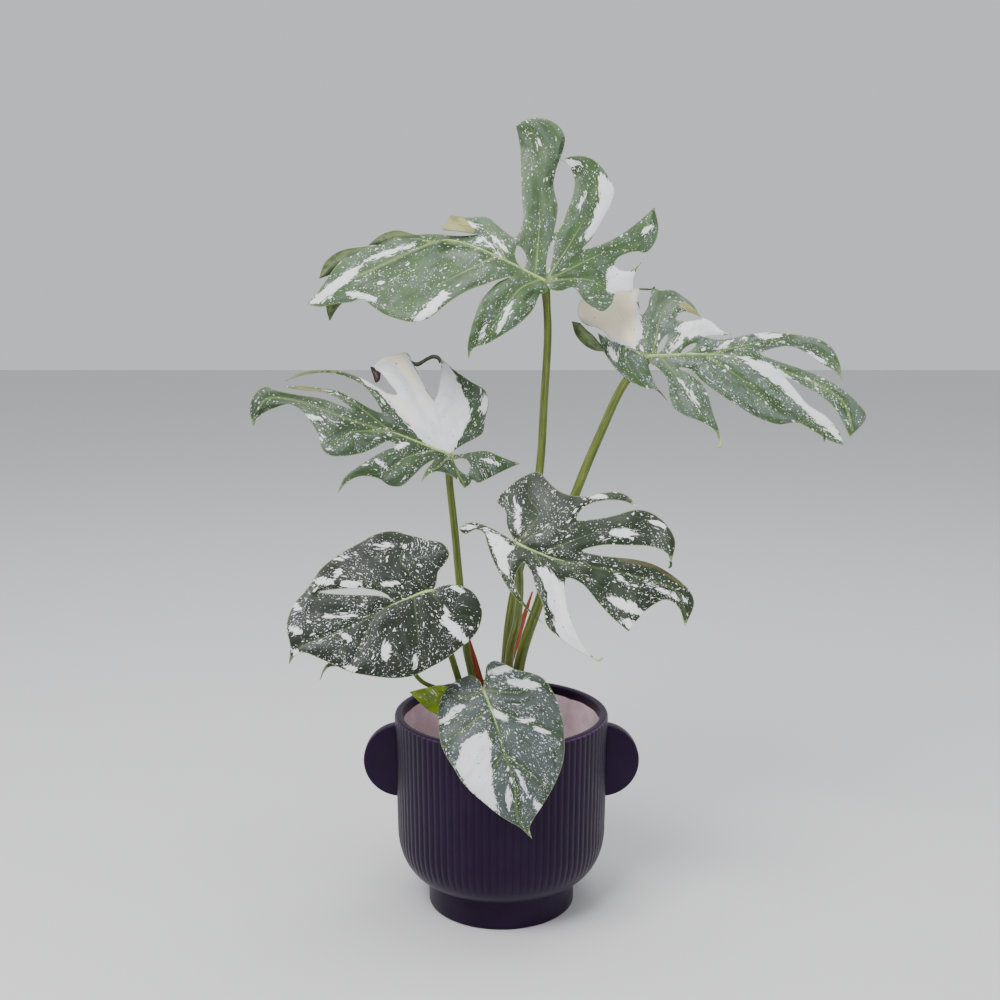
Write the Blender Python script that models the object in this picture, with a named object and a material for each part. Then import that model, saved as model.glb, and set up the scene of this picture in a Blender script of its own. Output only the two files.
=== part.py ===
"""A potted variegated monstera: a fluted footed pot with two disc ears, its soil, and the plant.

Sizes are in millimetres until a mesh is made. The origin is the middle of the foot's underside,
+Z is up and the plant faces -Y. The plant is measured from the middle of the soil's surface.
"""
import math

import bmesh
import bpy
from mathutils import Vector
from mathutils.geometry import delaunay_2d_cdt

MM = 0.001
GAP = 0.3                     # clearance between pieces that touch in the real thing

# Pot
POT_HEIGHT = 194.5
RIM_RADIUS = 105.0
WALL = 8.0
WALL_TAPER = 2.0              # the wall is this much narrower below than at the rim
BOWL_SHARE = 0.28             # the bowl's share of the height above the foot
FOOT_RADIUS = 72.5
FOOT_HEIGHT = 31.0
FOOT_BEVEL = 1.5
FLOOR = 10.0
LIP_ROUND = 3.0
EAR_RADIUS = 37.0
EAR_THICKNESS = 13.0
EAR_BEVEL = 2.0
EAR_STEPS = 40
EAR_DROP = 50.0               # ear centre below the rim
EAR_INSET = 5.0               # ear centre inside the wall's outer face
ROUND_STEPS = 48

# Soil and stem
SOIL_DROP = 79.5              # soil surface below the rim
SOIL_RISE = 1.5               # the surface is a little higher in the middle
SOIL_GAP = 0.7                # clearance between soil and wall, past the wall's flat faces
STEM_RADIUS = 8.0
STEM_HEIGHT = 34.0

# Blades and petioles
BLADE = 1.1                   # blade thickness
MARGIN_STEP = 7.0             # about the distance between points on a margin
GRID = 11.0                   # distance between points inside it
HOLE_STEPS = 4                # points on each side of a hole
PETIOLE_TO_BLADE = 3.6        # petiole end behind the blade's middle surface
BEND_STATIONS = (0, 3, 7, 13, 22)   # rings near a petiole's top, from its end
STRAIGHT_RUN = 26.0           # distance between its other rings
ROUTE_STEP = 4.0              # a petiole's path is worked out in pieces this long
HANG_OVER = 20.0              # the front leaf's hub is this far inside the rim
EYE = Vector((-1.0, -1230.0, 495.6))   # blades are drawn as seen from here

SOIL_LEVEL = POT_HEIGHT - SOIL_DROP


def clear_scene():
    for thing in list(bpy.data.objects):
        bpy.data.objects.remove(thing, do_unlink=True)


def finish(name, colour, roughness, metallic=0.0):
    material = bpy.data.materials.new(name)
    material.use_nodes = True
    shader = material.node_tree.nodes["Principled BSDF"]
    shader.inputs["Base Color"].default_value = (*colour, 1.0)
    shader.inputs["Roughness"].default_value = roughness
    shader.inputs["Metallic"].default_value = metallic
    return material


def add_object(name, mesh, material, smooth_angle=40.0):
    thing = bpy.data.objects.new(name, mesh)
    bpy.context.scene.collection.objects.link(thing)
    mesh.materials.append(material)
    mesh.shade_smooth()
    mesh.set_sharp_from_angle(angle=math.radians(smooth_angle))
    return thing


def mesh_from(name, points, faces):
    mesh = bpy.data.meshes.new(name)
    mesh.from_pydata([tuple(MM * c for c in p) for p in points], [], faces)
    mesh.validate()
    return mesh


# ---------------------------------------------------------------- lines

def smooth_line(points, step):
    """A smooth curve through the points (centripetal Catmull-Rom), in pieces of about one step."""
    points = [Vector(p) for p in points]
    padded = [2 * points[0] - points[1]] + points + [2 * points[-1] - points[-2]]
    line = points[:1]
    for a, b, c, d in zip(padded, padded[1:], padded[2:], padded[3:]):
        t1 = (b - a).length ** 0.5
        t2 = t1 + (c - b).length ** 0.5
        t3 = t2 + (d - c).length ** 0.5
        count = max(1, round((c - b).length / step))
        for k in range(1, count):
            t = t1 + (t2 - t1) * k / count
            ab, bc, cd = (a.lerp(b, t / t1), b.lerp(c, (t - t1) / (t2 - t1)),
                          c.lerp(d, (t - t2) / (t3 - t2)))
            line.append(ab.lerp(bc, t / t2).lerp(bc.lerp(cd, (t - t1) / (t3 - t1)), (t - t1) / (t2 - t1)))
        line.append(c)
    return line


def length_of(line):
    return sum((b - a).length for a, b in zip(line, line[1:]))


def point_at(line, distance):
    for a, b in zip(line, line[1:]):
        step = (b - a).length
        if distance <= step and step > 0:
            return a.lerp(b, distance / step)
        distance -= step
    return line[-1].copy()


# ---------------------------------------------------------------- turned pieces

def turned(name, profile, material, steps=ROUND_STEPS):
    """Turn a profile of (radius, height) points, from the bottom's middle to the top's middle."""
    points, rings = [], []
    for radius, height in profile:
        if radius == 0:
            rings.append([len(points)] * steps)
            points.append((0, 0, height))
        else:
            rings.append(list(range(len(points), len(points) + steps)))
            points += [(radius * math.cos(2 * math.pi * k / steps),
                        radius * math.sin(2 * math.pi * k / steps), height) for k in range(steps)]
    faces = []
    for low, high in zip(rings, rings[1:]):
        for k in range(steps):
            corners = [low[k], low[(k + 1) % steps], high[(k + 1) % steps], high[k]]
            faces.append(list(dict.fromkeys(corners)))
    return add_object(name, mesh_from(name, points, faces), material)


def outer_profile():
    """The outside from the foot's edge up to the upper wall: foot, bowl, wall."""
    wall_height = POT_HEIGHT - FOOT_HEIGHT
    belly_radius = RIM_RADIUS - WALL_TAPER
    bowl_start = FOOT_RADIUS + FOOT_BEVEL
    line = [(FOOT_RADIUS - FOOT_BEVEL, 0), (FOOT_RADIUS, FOOT_BEVEL),
            (FOOT_RADIUS, FOOT_HEIGHT - FOOT_BEVEL)]
    for k in range(7):
        turn = math.radians(15 * k)
        line.append((bowl_start + (belly_radius - bowl_start) * math.sin(turn),
                     FOOT_HEIGHT + BOWL_SHARE * wall_height * (1 - math.cos(turn))))
    line.append((RIM_RADIUS - 0.4 * WALL_TAPER, POT_HEIGHT - 0.3 * wall_height))
    return line


def outer_radius_at(height):
    line = outer_profile() + [(RIM_RADIUS, POT_HEIGHT)]
    for (r0, z0), (r1, z1) in zip(line, line[1:]):
        if z0 <= height <= z1 and z1 > z0:
            return r0 + (r1 - r0) * (height - z0) / (z1 - z0)
    return RIM_RADIUS


def cavity_heights():
    tops = [z for _, z in outer_profile() if z > FOOT_HEIGHT]
    return [FLOOR, FOOT_HEIGHT + WALL] + [z + WALL for z in tops[1:-1]]


def make_pot(material):
    line = [(0, 0)] + outer_profile()
    for k in range(4):
        turn = math.radians(30 * k)
        line.append((RIM_RADIUS - LIP_ROUND * (1 - math.cos(turn)),
                     POT_HEIGHT - LIP_ROUND * (1 - math.sin(turn))))
    line.append((RIM_RADIUS - WALL + 1.5, POT_HEIGHT))
    line.append((RIM_RADIUS - WALL, POT_HEIGHT - 1.5))
    for height in reversed(cavity_heights()):
        line.append((cavity_radius(height), height))
    line.append((0, FLOOR))
    pot = turned("pot", line, material)
    for side in (-1, 1):
        ear = ear_object(side)
        union = pot.modifiers.new("ear", "BOOLEAN")
        union.operation = "UNION"
        union.object = ear
    return pot


def cavity_radius(height):
    """The cavity's walls follow the outside, and go straight down inside the foot."""
    foot_bore = FOOT_RADIUS - WALL
    if height <= FOOT_HEIGHT + WALL:
        return foot_bore
    return max(foot_bore, outer_radius_at(height - 0.4 * WALL) - WALL)


def ear_object(side):
    """A thick disc on edge, whose inner part is lost in the wall."""
    steps = EAR_STEPS
    half = EAR_THICKNESS / 2
    centre_z = POT_HEIGHT - EAR_DROP
    centre_x = side * (outer_radius_at(centre_z) - EAR_INSET)
    section = [(EAR_RADIUS - EAR_BEVEL, -half), (EAR_RADIUS, EAR_BEVEL - half),
               (EAR_RADIUS, half - EAR_BEVEL), (EAR_RADIUS - EAR_BEVEL, half)]
    reach = max(0.0, WALL - 1.5 - EAR_INSET)      # the disc stops inside the wall
    points, faces = [], []
    for radius, y in section:
        for k in range(steps):
            turn = 2 * math.pi * k / steps
            x = max(-reach, radius * math.cos(turn))
            points.append((centre_x + side * x, y, centre_z + radius * math.sin(turn)))
    for ring in range(len(section) - 1):
        for k in range(steps):
            a, b = ring * steps + k, ring * steps + (k + 1) % steps
            faces.append((a, b, b + steps, a + steps))
    faces.append(tuple(range(steps))[::-1])
    faces.append(tuple(range(3 * steps, 4 * steps)))
    mesh = mesh_from("ear_guide", points, faces)
    form = bmesh.new()
    form.from_mesh(mesh)
    bmesh.ops.remove_doubles(form, verts=form.verts, dist=1e-6)
    bmesh.ops.recalc_face_normals(form, faces=form.faces)
    form.to_mesh(mesh)
    form.free()
    ear = bpy.data.objects.new(f"ear_guide_{side}", mesh)
    bpy.context.scene.collection.objects.link(ear)
    ear.hide_render = True
    ear.display_type = "WIRE"
    return ear


def make_soil(material):
    """The potting mix fills the cavity up to SOIL_LEVEL; stems start a little above it."""
    edge = SOIL_LEVEL - SOIL_RISE
    middle = SOIL_LEVEL - GAP
    heights = [FLOOR + GAP] + [z for z in cavity_heights()[1:] if z < edge - 3.5] + [edge]
    line = [(0, FLOOR + GAP)] + [(cavity_radius(z) - SOIL_GAP, z) for z in heights]
    line += [(0.5 * RIM_RADIUS, middle), (0, middle)]
    return turned("soil", line, material)


# ---------------------------------------------------------------- stems

def above_soil(point):
    return Vector((point[0], point[1], point[2] + SOIL_LEVEL))


def tube(name, route, sizes, material, sides=8, flat=1.0, flat_way=(1, 0, 0)):
    """A closed round or flattened tube along a smooth route, with a size at each end."""
    whole = smooth_line(route, ROUTE_STEP)
    total = length_of(whole)
    bends = [d for d in BEND_STATIONS if d < 0.5 * total]
    runs = max(3, int((total - bends[-1]) / STRAIGHT_RUN))
    line = [point_at(whole, (total - bends[-1]) * k / runs) for k in range(runs)]
    line += [point_at(whole, total - d) for d in reversed(bends)]
    count = len(line) - 1
    points, faces = [], []
    side = Vector(flat_way)
    for k, centre in enumerate(line):
        along = (line[min(k + 1, count)] - line[max(k - 1, 0)]).normalized()
        side = (side - along * side.dot(along)).normalized()
        other = along.cross(side)
        size = sizes[0] + (sizes[1] - sizes[0]) * (k / count) ** 0.7
        for j in range(sides):
            turn = 2 * math.pi * j / sides
            points.append(centre + side * size * math.cos(turn) + other * size * flat * math.sin(turn))
    for k in range(count):
        for j in range(sides):
            a, b = k * sides + j, k * sides + (j + 1) % sides
            faces.append((a, b, b + sides, a + sides))
    faces.append(tuple(range(sides))[::-1])
    faces.append(tuple(range(count * sides, (count + 1) * sides)))
    return add_object(name, mesh_from(name, points, faces), material)


def make_stem(material):
    shape = [(1.0, 0.0), (1.02, 0.3), (0.98, 0.6), (0.95, 0.82), (0.8, 0.95), (0.45, 1.0), (0.0, 1.0)]
    profile = [(0, 0)] + [(STEM_RADIUS * across, STEM_HEIGHT * up) for across, up in shape]
    stem = turned("stem_base", profile, material, 24)
    stem.location = above_soil((-1, -1, GAP)) * MM
    return stem


# ---------------------------------------------------------------- blades
#
# A blade is drawn flat in front of EYE, x to the right and y up, with the petiole's end at 0, 0.
# A third number lifts a point towards EYE. Each half is a list that goes round its margin from the
# petiole to the last lobe: the lobes' points, with a cut between two lobes. A slit's point is its
# inner end, and a seam's point is on the margin. A cut may hold a hole, which lies on the line from
# the midrib, a distance from the petiole, to the cut's point.

def tip(x, y, lift=0):
    """A sharp point of the margin."""
    return (x, y, lift, "tip")


def slit(root, x, y, lift=0, hole=None, via=()):
    return {"root": root, "at": (x, y, lift), "hole": hole, "via": list(via)}


def seam(root, x, y, lift=0, hole=None, via=()):
    return slit(root, x, y, lift, hole, via)


def inside(x, y, loop):
    """True if the loop of points goes round x, y."""
    odd = False
    for a, b in zip(loop, loop[1:] + loop[:1]):
        if (a.y > y) != (b.y > y) and x < a.x + (b.x - a.x) * (y - a.y) / (b.y - a.y):
            odd = not odd
    return odd


class Blade:
    def __init__(self, leaf):
        self.leaf = leaf
        self.hub = above_soil(leaf["hub"])
        eye = above_soil(EYE)
        self.out = (eye - self.hub).normalized()
        self.right = Vector((0, 0, 1)).cross(self.out).normalized()
        self.up = self.out.cross(self.right)
        self.eye_distance = (eye - self.hub).length
        self.rib = smooth_line([Vector((*p, 0)) for p in leaf["midrib"]], MARGIN_STEP)
        self.margin = self.make_margin()
        self.holes = [self.make_hole(cut) for half in (leaf["first"], leaf["second"])
                      for cut in half[1::2] if cut["hole"]]

    def place(self, x, y, lift):
        """From the drawing to the pot's space: the blade leans and bows, and lift is added."""
        lean_x, lean_y, bow = self.leaf["lean"]
        depth = lean_x * x + lean_y * y - bow * (x * x + y * y) / 10000 + lift
        shrink = 1 - depth / self.eye_distance
        return self.hub + self.right * x * shrink + self.up * y * shrink + self.out * depth

    def make_margin(self):
        """The whole margin, smooth between its sharp points."""
        def half(parts):
            points = []
            for part in parts:
                points += [part["at"]] if isinstance(part, dict) else part
            return points
        leaf = self.leaf
        drawn = [tip(0, 0)] + half(leaf["first"]) + leaf["end"] + half(leaf["second"])[::-1] + [tip(0, 0)]
        sharp = [k for k, p in enumerate(drawn) if len(p) > 3]
        points = [Vector((p[0], p[1], p[2] if len(p) > 2 else 0)) for p in drawn]
        loop = []
        for a, b in zip(sharp, sharp[1:]):
            loop += smooth_line(points[a:b + 1], MARGIN_STEP)[:-1]
        return loop

    def make_hole(self, cut):
        """A pointed oval along the cut."""
        first, last, (left, right) = cut["hole"]
        line = smooth_line([point_at(self.rib, cut["root"])] + [Vector((*p, 0)) for p in cut["via"]]
                           + [Vector(cut["at"])], MARGIN_STEP)
        along = line[-1] - line[0]
        across = Vector((-along.y, along.x, 0)).normalized()
        total = length_of(line)
        ring = []
        for k in range(2 * HOLE_STEPS):
            back = k > HOLE_STEPS
            share = (2 * HOLE_STEPS - k if back else k) / HOLE_STEPS
            width = -right if back else left
            ring.append(point_at(line, total * (first + (last - first) * share))
                        + across * width * math.sin(math.pi * share))
        return ring

    def mesh(self):
        """Triangles between the margin, the holes and a grid of points inside."""
        loops = [self.margin] + self.holes
        known = [p for loop in loops for p in loop] + self.rib
        flat, edges = [], []
        for loop in loops:
            start = len(flat)
            flat += [p.to_2d() for p in loop]
            edges += [(start + k, start + (k + 1) % len(loop)) for k in range(len(loop))]
        flat += [p.to_2d() for p in self.rib[1:]]
        low = Vector((min(p.x for p in flat), min(p.y for p in flat)))
        high = Vector((max(p.x for p in flat), max(p.y for p in flat)))
        for row in range(int((high.y - low.y) / (0.87 * GRID)) + 1):
            for column in range(int((high.x - low.x) / GRID) + 1):
                point = low + Vector((GRID * (column + 0.5 * (row % 2)), 0.87 * GRID * row))
                if min((p.to_2d() - point).length for p in known) > 0.6 * GRID:
                    flat.append(point)
        points, _, faces, *_ = delaunay_2d_cdt(flat, edges, [], 0, 1e-4)
        kept = []
        for face in faces:
            middle = sum((points[k] for k in face), Vector((0, 0))) / 3
            if inside(*middle, self.margin) and not any(inside(*middle, hole) for hole in self.holes):
                kept.append(face)
        used = sorted({k for face in kept for k in face})
        number = {k: n for n, k in enumerate(used)}
        placed = [self.place(*points[k], self.lift_at(points[k], known)) for k in used]
        return mesh_from(self.leaf["name"], placed, [[number[k] for k in face] for face in kept])

    def lift_at(self, point, known):
        """The lift between points whose lift is known: the nearest count most."""
        total, sum_of = 0.0, 0.0
        for p in known:
            weight = 1 / ((p.to_2d() - point).length_squared + 0.01) ** 1.5
            total += weight
            sum_of += weight * p.z
        return sum_of / total


def make_leaf(leaf, material):
    blade = Blade(leaf)
    thing = add_object(leaf["name"], blade.mesh(), material, 60.0)
    solid = thing.modifiers.new("blade", "SOLIDIFY")
    solid.thickness = BLADE * MM
    solid.offset = 0.0
    return blade


def make_petiole(leaf, blade, material):
    top = blade.hub - blade.out * PETIOLE_TO_BLADE
    bend = blade.hub - blade.out * (PETIOLE_TO_BLADE + 5.0) - blade.up * 2.0
    route = [above_soil(p) for p in leaf["petiole"]]
    route[0].z += GAP + 1.0
    thick, thin = leaf["petiole_size"]
    return tube(leaf["name"].replace("leaf", "petiole"), route + [bend, top], (thick, thin), material)


# ---------------------------------------------------------------- the eight leaves

LEAF_TOP = dict(
    name="leaf_top", hub=(41, 0, 497), lean=(-0.15, -0.35, 6),
    midrib=[(0, 0), (-10, 5), (-20, 10), (-36, 18), (-58, 28), (-75, 34), (-95, 37)],
    first=[
        [(5, -8, 2), (15, -9), (26, -6), (37, -19, 3), (46, -25, 4), (54, -28, 4), (62, -21, 3),
         (66, -11), (81, -8), (82, 2), tip(92, 22), (85, 13), (77, 9), (69, 10)],
        slit(0, 64, 15),
        [(67, 21), (75, 25), (85, 27), (93, 26), (101, 35), (104, 48), tip(100, 67, 6), (90, 58),
         (78, 48), (64, 39), (48, 32)],
        slit(0, 34, 29),
        [(42, 38), (52, 55), (60, 70), (63, 82), (58, 93), (50, 104), (38, 112, 4), (26, 113, 6),
         tip(13, 110, 10), (21, 104, 4), (26, 93), (25, 79), (19, 62), (14, 49)],
        slit(0, 8, 44, 0, (0.15, 0.85, (2.5, 2.5))),
        [(10, 56), (11, 68), (7, 88), (11, 106), (16, 120, 4), (17, 130, 6), (13, 138, 6),
         (5, 144, 6), (-8, 147, 6), (-19, 145, 8), tip(-28, 141, 10), (-24, 122), (-23, 98),
         (-22, 74), (-21, 55)],
        slit(22, -28, 40, 0, (0.05, 0.75, (5, 5))),
        [(-36, 44, -6), (-46, 52, -14), (-54, 58, -20), (-74, 58, -20), tip(-88, 60, -12),
         (-93, 53, -6), (-96, 48, -3), (-80, 45.5, -4)],
        slit(58, -64, 42.5, -8),
        [(-80, 41, -16), (-97, 42.5, -28), (-111, 43, -36), (-126, 41, -38), (-142, 39, -36)],
        seam(95, -157, 33, -26)],
    end=[(-172, 29, -22), (-186, 22, -18), (-197, 12, -12), (-208, -3, -6),
                            tip(-224, -22, 0), (-211, -24, 4), (-196, -21, 8), (-184, -20, 12)],
    second=[
        [(2, -9), (-5, -13), (-10, -24, 2), (-15, -31, 4), (-26, -41, 6), (-40, -50, 6), (-54, -58, 4),
         (-68, -63, 2), tip(-72, -73, -2), (-73, -63, 2), (-71, -50, 6), (-66, -33, 8), (-60, -18, 8),
         (-52, -8.5, 4), (-44, -1.5)],
        slit(8, -32, 4),
        [(-45, 1, 4), (-56, -3, 10), (-68, -7, 16), (-80, -13, 22), (-92, -21, 26), (-104, -31, 30),
         (-115, -37, 30), (-127, -38, 28), (-140, -35, 26), (-151, -31, 22), (-162, -24, 18)],
        seam(95, -172, -17, 14)],
    petiole=[(4, 16, 0), (4, 15, 122), (11, 16, 187), (26, 18, 252), (37, 18, 316), (41, 16, 384),
             (44, 12, 451)], petiole_size=(5.0, 3.6))

LEAF_RIGHT = dict(
    name="leaf_right", hub=(140, 20, 426), lean=(0.12, -0.3, 6),
    midrib=[(0, 0), (20, 1), (40, 2), (60, 2), (85, 0)],
    first=[
        [(1, -9, -4), (4, -18, -6), (8, -27, -6), tip(21, -44, -2), (10, -33, -4), (-3, -30, -6),
         (-18, -23, -8), (-31, -11, -8), (-41, 3, -6), (-46, 15, -4), tip(-48, 22, -2), (-42, 19.5, -2)],
        slit(0, -34, 13.5, -2),
        [(-41, 22, -3), (-49, 27, -6), (-58, 29, -8), (-66, 36, -8), (-66, 50, -8), (-55, 61, -6),
         (-35, 63, -4), (-20, 63, -4), (-9, 64, -2), (-10, 54, -2), (-8, 45, -2)],
        slit(0, -6, 39),
        [(-1, 46), (1, 55), (4, 64), (12, 62), (21, 63, -2), (32, 57, -2), (42, 49, 2),
         tip(50, 37, 8), (40, 41, 2), (31, 42)],
        slit(8, 26, 35, 0, (0.05, 0.6, (2.5, 2.5))),
        [(34, 33), (43, 34), (52, 36), (61, 32), (69, 25, 2), tip(80, 21, 6), (71, 20, 2), (62, 20)],
        slit(30, 55, 18.5, 0, (0.05, 0.65, (2.5, 2.5))),
        [(66, 16), (80, 17.5), (95, 21), (115, 23), (145, 20, 2), (162, 16, 4), (173, 8, 6), (181, -9, 8),
         tip(183, -22, 10), (176, -13, 6), (163, -6, 4), (149, 4, 2), (134, 10), (118, 8)],
        slit(85, 106, 3)],
    end=[(120, -3), (138, -9), (160, -17), (178, -26.5, 4), (198, -43, 6),
                            (206, -56, 4), tip(192, -75, 8), (186, -64, 6), (176, -47, 4),
                            (160, -34, 2), (145, -26)],
    second=[
        [(4, -8), (11, -12), (19, -22), (21, -36), (25, -48), (36, -56), (52, -62), (65, -70),
         tip(71, -84, -4), (69, -70), (63, -53), (58, -36), (52, -26), (42, -18)],
        slit(22, 30, -11),
        [(40, -12), (52, -23), (68, -35), (84, -45), (100, -55), (114, -61), (126, -64), (142, -62),
         (160, -71, 4), (174, -79, 6), tip(187, -83, 10), (180, -68, 6), (168, -55, 4), (152, -45, 2),
         (140, -31)],
        slit(85, 130, -19)],
    petiole=[(17, 9, 0), (17, 11, 117), (38, 18, 187), (54, 22, 236), (72, 26, 290), (96, 30, 349),
             (120, 32, 400)], petiole_size=(5.8, 3.8))

LEAF_LEFT = dict(
    name="leaf_left", hub=(-49, -10, 335), lean=(-0.15, -0.25, 6),
    midrib=[(0, 0), (-15, 6), (-30, 12), (-50, 20), (-70, 26), (-90, 32)],
    first=[
        [(6, 5), (14, 10), (24, 15), (31, 20), (34, 34, -2), (37, 48, -4), (34, 60, -4), (20, 69, -4),
         (6, 79, -2), tip(-7, 90), (-8, 76), (-10, 62)],
        slit(0, -14, 52),
        [(-19, 57), (-26, 70), (-33, 84), (-40, 96, -2), (-50, 94, -4), (-62, 92, -6), tip(-73, 82, -8),
         (-64, 77, -2), (-56, 67)],
        slit(0, -49, 57),
        [(-58, 58), (-68, 64), (-84, 73), (-101, 79, -4), (-120, 80, -8), (-140, 77, -12),
         tip(-155, 69.5, -14), (-138, 75, -12), (-116, 77.5, -8), (-98, 74, -4), (-82, 66), (-71, 54)],
        slit(25, -64, 40),
        [(-75, 44), (-90, 53), (-104, 60, -2), (-122, 63, -4), (-140, 65, -6), tip(-155, 64.5, -6),
         (-138, 61.3, -4), (-118, 59, -2), (-104, 52.5)],
        slit(92, -92, 43.5)],
    end=[(-104, 47.5), (-120, 53.5), (-142, 57, 2), (-160, 60.5, 2), (-173, 64.5), (-184, 55, -2),
                            (-187, 42, -6), tip(-184, 28, -12), (-178, 37, -6), (-163, 45, -2), (-150, 48),
                            (-139, 42)],
    second=[
        [(8, 0), (20, 2), (35, 3), (50, -3, 2), tip(67, -9, 4), (57, -13, 4), (46, -18, 4), (34, -24, 4),
         (27, -27, 4)],
        slit(0, 21, -24, 2, (0.2, 0.8, (9, 3))),
        [(19, -28, 2), tip(14, -32, 2), (7, -24, 2)],
        seam(0, -3, -18, 2),
        [(-12, -16, 3), (-19, -18, 4), tip(-27, -26, 6), (-23, -16, 4)],
        slit(0, -15, -5, 2),
        [(-24, -10, 2), (-35, -20.5, 4), (-46, -29.5, 4), (-57, -29, 4), (-68, -22, 4), (-83, -20, 4),
         (-96, -25, 2), tip(-106, -36, -2), (-99, -21, 2), (-88, -12, 4), (-74, -3, 4), (-61, 4, 2)],
        slit(25, -50, 9),
        [(-58, 13), (-68, 8, 2), (-82, 2, 4), (-100, -1, 6), (-113, 0, 6), (-120, 6, 6), (-123, 18, 4)],
        seam(92, -130, 31, 2)],
    petiole=[(-16, 8, 0), (-29, 6, 114), (-34, 6, 139), (-40, 4, 200), (-45, 2, 260), (-50, -1, 315)],
    petiole_size=(4.8, 3.4))

LEAF_MIDDLE = dict(
    name="leaf_middle", hub=(13, -75, 263), lean=(0.1, -0.3, 6),
    midrib=[(0, 0), (10, -5), (20, -9), (30, -13), (42, -16)],
    first=[
        [(-4, 7), (-8, 16), (-9, 28), (-17, 38, -2), (-8, 49, -2), (5, 59, -4), (20, 64, -6),
         (29, 56, -4), (39, 47, -2)],
        seam(0, 50, 43, -2),
        [(62, 42, -2), (78, 45, -2), (92, 46, -2), (102, 42, 0), tip(111, 31, 4), (101, 37), (88, 39),
         (72, 37), (60, 31)],
        slit(6, 55, 21),
        [(68, 21), (86, 24), (110, 30), (123, 27), (136, 17, 2), (144, 2, 4), tip(141, -17, 6),
         (135, -8, 4), (122, -3, 2), (100, -2), (78, -2)],
        slit(42, 60, -7)],
    end=[(74, -11), (90, -13), (108, -15), (126, -20, -2), (144, -31, -2), (157, -43),
                            (161, -54, 2), tip(153, -75, 6), (147, -58, 4), (136, -51, 2)],
    second=[
        [(-6, 4), (-14, 9), (-24, 14), (-36, 18, -2), (-46, 17, -4), (-51, 12, -4), (-46, 8, -4),
         (-36, 12, -2)],
        slit(0, -29, 9, 0),
        [(-26, 0), (-22, -12, 2), (-14, -29, 4), (-4, -45, 4), (10, -60, 2), tip(26, -74, -2),
         (13, -61, 2), (4, -48, 4), (-1, -34, 4)],
        slit(5, 7, -18, 2),
        [(14, -26, 2), (18, -40, 4), (25, -57, 6), (28, -74, 6), (40, -86, 6), (57, -98, 4),
         tip(73, -106, 0), (61, -92, 4), (52, -74, 4), (46, -54, 2)],
        slit(28, 46, -32),
        [(60, -37), (74, -53), (87, -67, 2), tip(102, -80, 6), (110, -69, 4)],
        seam(42, 121, -58, 2)],
    petiole=[(8, -13, 0), (8, -26, 144), (15, -42, 182), (17, -60, 224), (15, -72, 246)],
    petiole_size=(5.0, 3.2))

LEAF_BROAD = dict(
    name="leaf_broad", hub=(-62, -85, 221), lean=(-0.15, -0.3, 6),
    midrib=[(0, 0), (-10, -2), (-20, -6), (-35, -12), (-50, -19), (-65, -27), (-80, -34)],
    first=[
        [(3, 6), (5, 17), (10, 23), (15, 32, -2), (10, 42, -4), (-5, 46, -6), (-20, 50, -6),
         (-37, 54, -6), (-52, 51, -4)],
        seam(6, -65, 44, -4),
        [(-80, 36, -3), (-92, 28, -2), (-102, 19), (-109, 8)],
        seam(35, -116, -1, 0, (0.05, 0.85, (3, 3)), [(-45, -3), (-98, 0)]),
        [(-124, -10), (-129, -20), (-131, -29)],
        seam(80, -130, -38, 0)],
    end=[(-128, -48, -1), tip(-129, -64, -6), (-124, -57, -2), (-116, -54, 0)],
    second=[
        [(5, 3), (16, 5), (28, 3), (38, -4, 2), (44, -18, 2), (42, -32, 2), (36, -42, 2)],
        seam(6, 24, -52, 2),
        [(12, -61, 2), (-3, -69, 2), (-18, -76, 2), (-33, -78, 2)],
        seam(30, -47, -77, 2),
        [(-60, -75, 2), (-74, -72, 2), (-90, -65, 1)],
        seam(80, -105, -58, 0)],
    petiole=[(-19, -8, 0), (-39, -32, 113), (-45, -43, 140), (-52, -57, 168), (-59, -73, 200)],
    petiole_size=(4.2, 2.8))

LEAF_FRONT = dict(
    name="leaf_front", hub=(-17, HANG_OVER - RIM_RADIUS, 129), lean=(0.0, -0.4, 22),
    midrib=[(0, 0), (4, -10), (8, -20), (12, -32), (16, -45), (20, -60), (24, -72), (28, -85)],
    first=[
        [(-2, 5), (-5, 9), (-12, 12), (-20, 9), (-30, 3), (-37, -6), (-40, -15)],
        seam(4, -41, -26),
        [(-40, -38), (-38, -50), (-33, -61)],
        seam(34, -26, -72),
        [(-20, -82), (-10, -93), (2, -103)],
        seam(88, 13, -112)],
    end=[(24, -119), (33, -124), tip(44, -134, -4), (42, -124)],
    second=[
        [(2, 10), (4, 21), (10, 25), (20, 22), (30, 17, -2), (44, 14, -2), (55, 9), (65, -5)],
        seam(4, 70, -18),
        [(73, -31), (74, -45), (74, -57)],
        seam(34, 72, -68),
        [(68, -79), (62, -91), (54, -104)],
        seam(88, 47, -114)],
    petiole=[(-6, -18, 0), (-9, -30, 40), (-14, HANG_OVER - RIM_RADIUS + 37, 85),
             (-17, HANG_OVER - RIM_RADIUS + 15, 118)], petiole_size=(4.2, 2.8))

LEAF_YOUNG = dict(
    name="leaf_young", hub=(-37, -52, 101), lean=(-0.1, -0.3, 10),
    midrib=[(0, 0), (-12, 3), (-24, 6), (-36, 10)],
    first=[
        [(3, 5), (1, 12), (-6, 16), (-14, 19), (-21, 20)],
        seam(12, -27, 19, -1),
        [(-32, 18), (-37, 17), (-41, 16)],
        seam(37, -45, 15)],
    end=[tip(-50, 14), (-47, 11)],
    second=[
        [(5, -3), (4, -9), (-3, -12), (-11, -12), (-18, -10)],
        seam(12, -25, -7, 1),
        [(-31, -4), (-35, -1), (-39, 3)],
        seam(37, -44, 8)],
    petiole=[(-16, -24, 0), (-28, -40, 55), (-34, -44, 80)], petiole_size=(2.6, 2.0))

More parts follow.
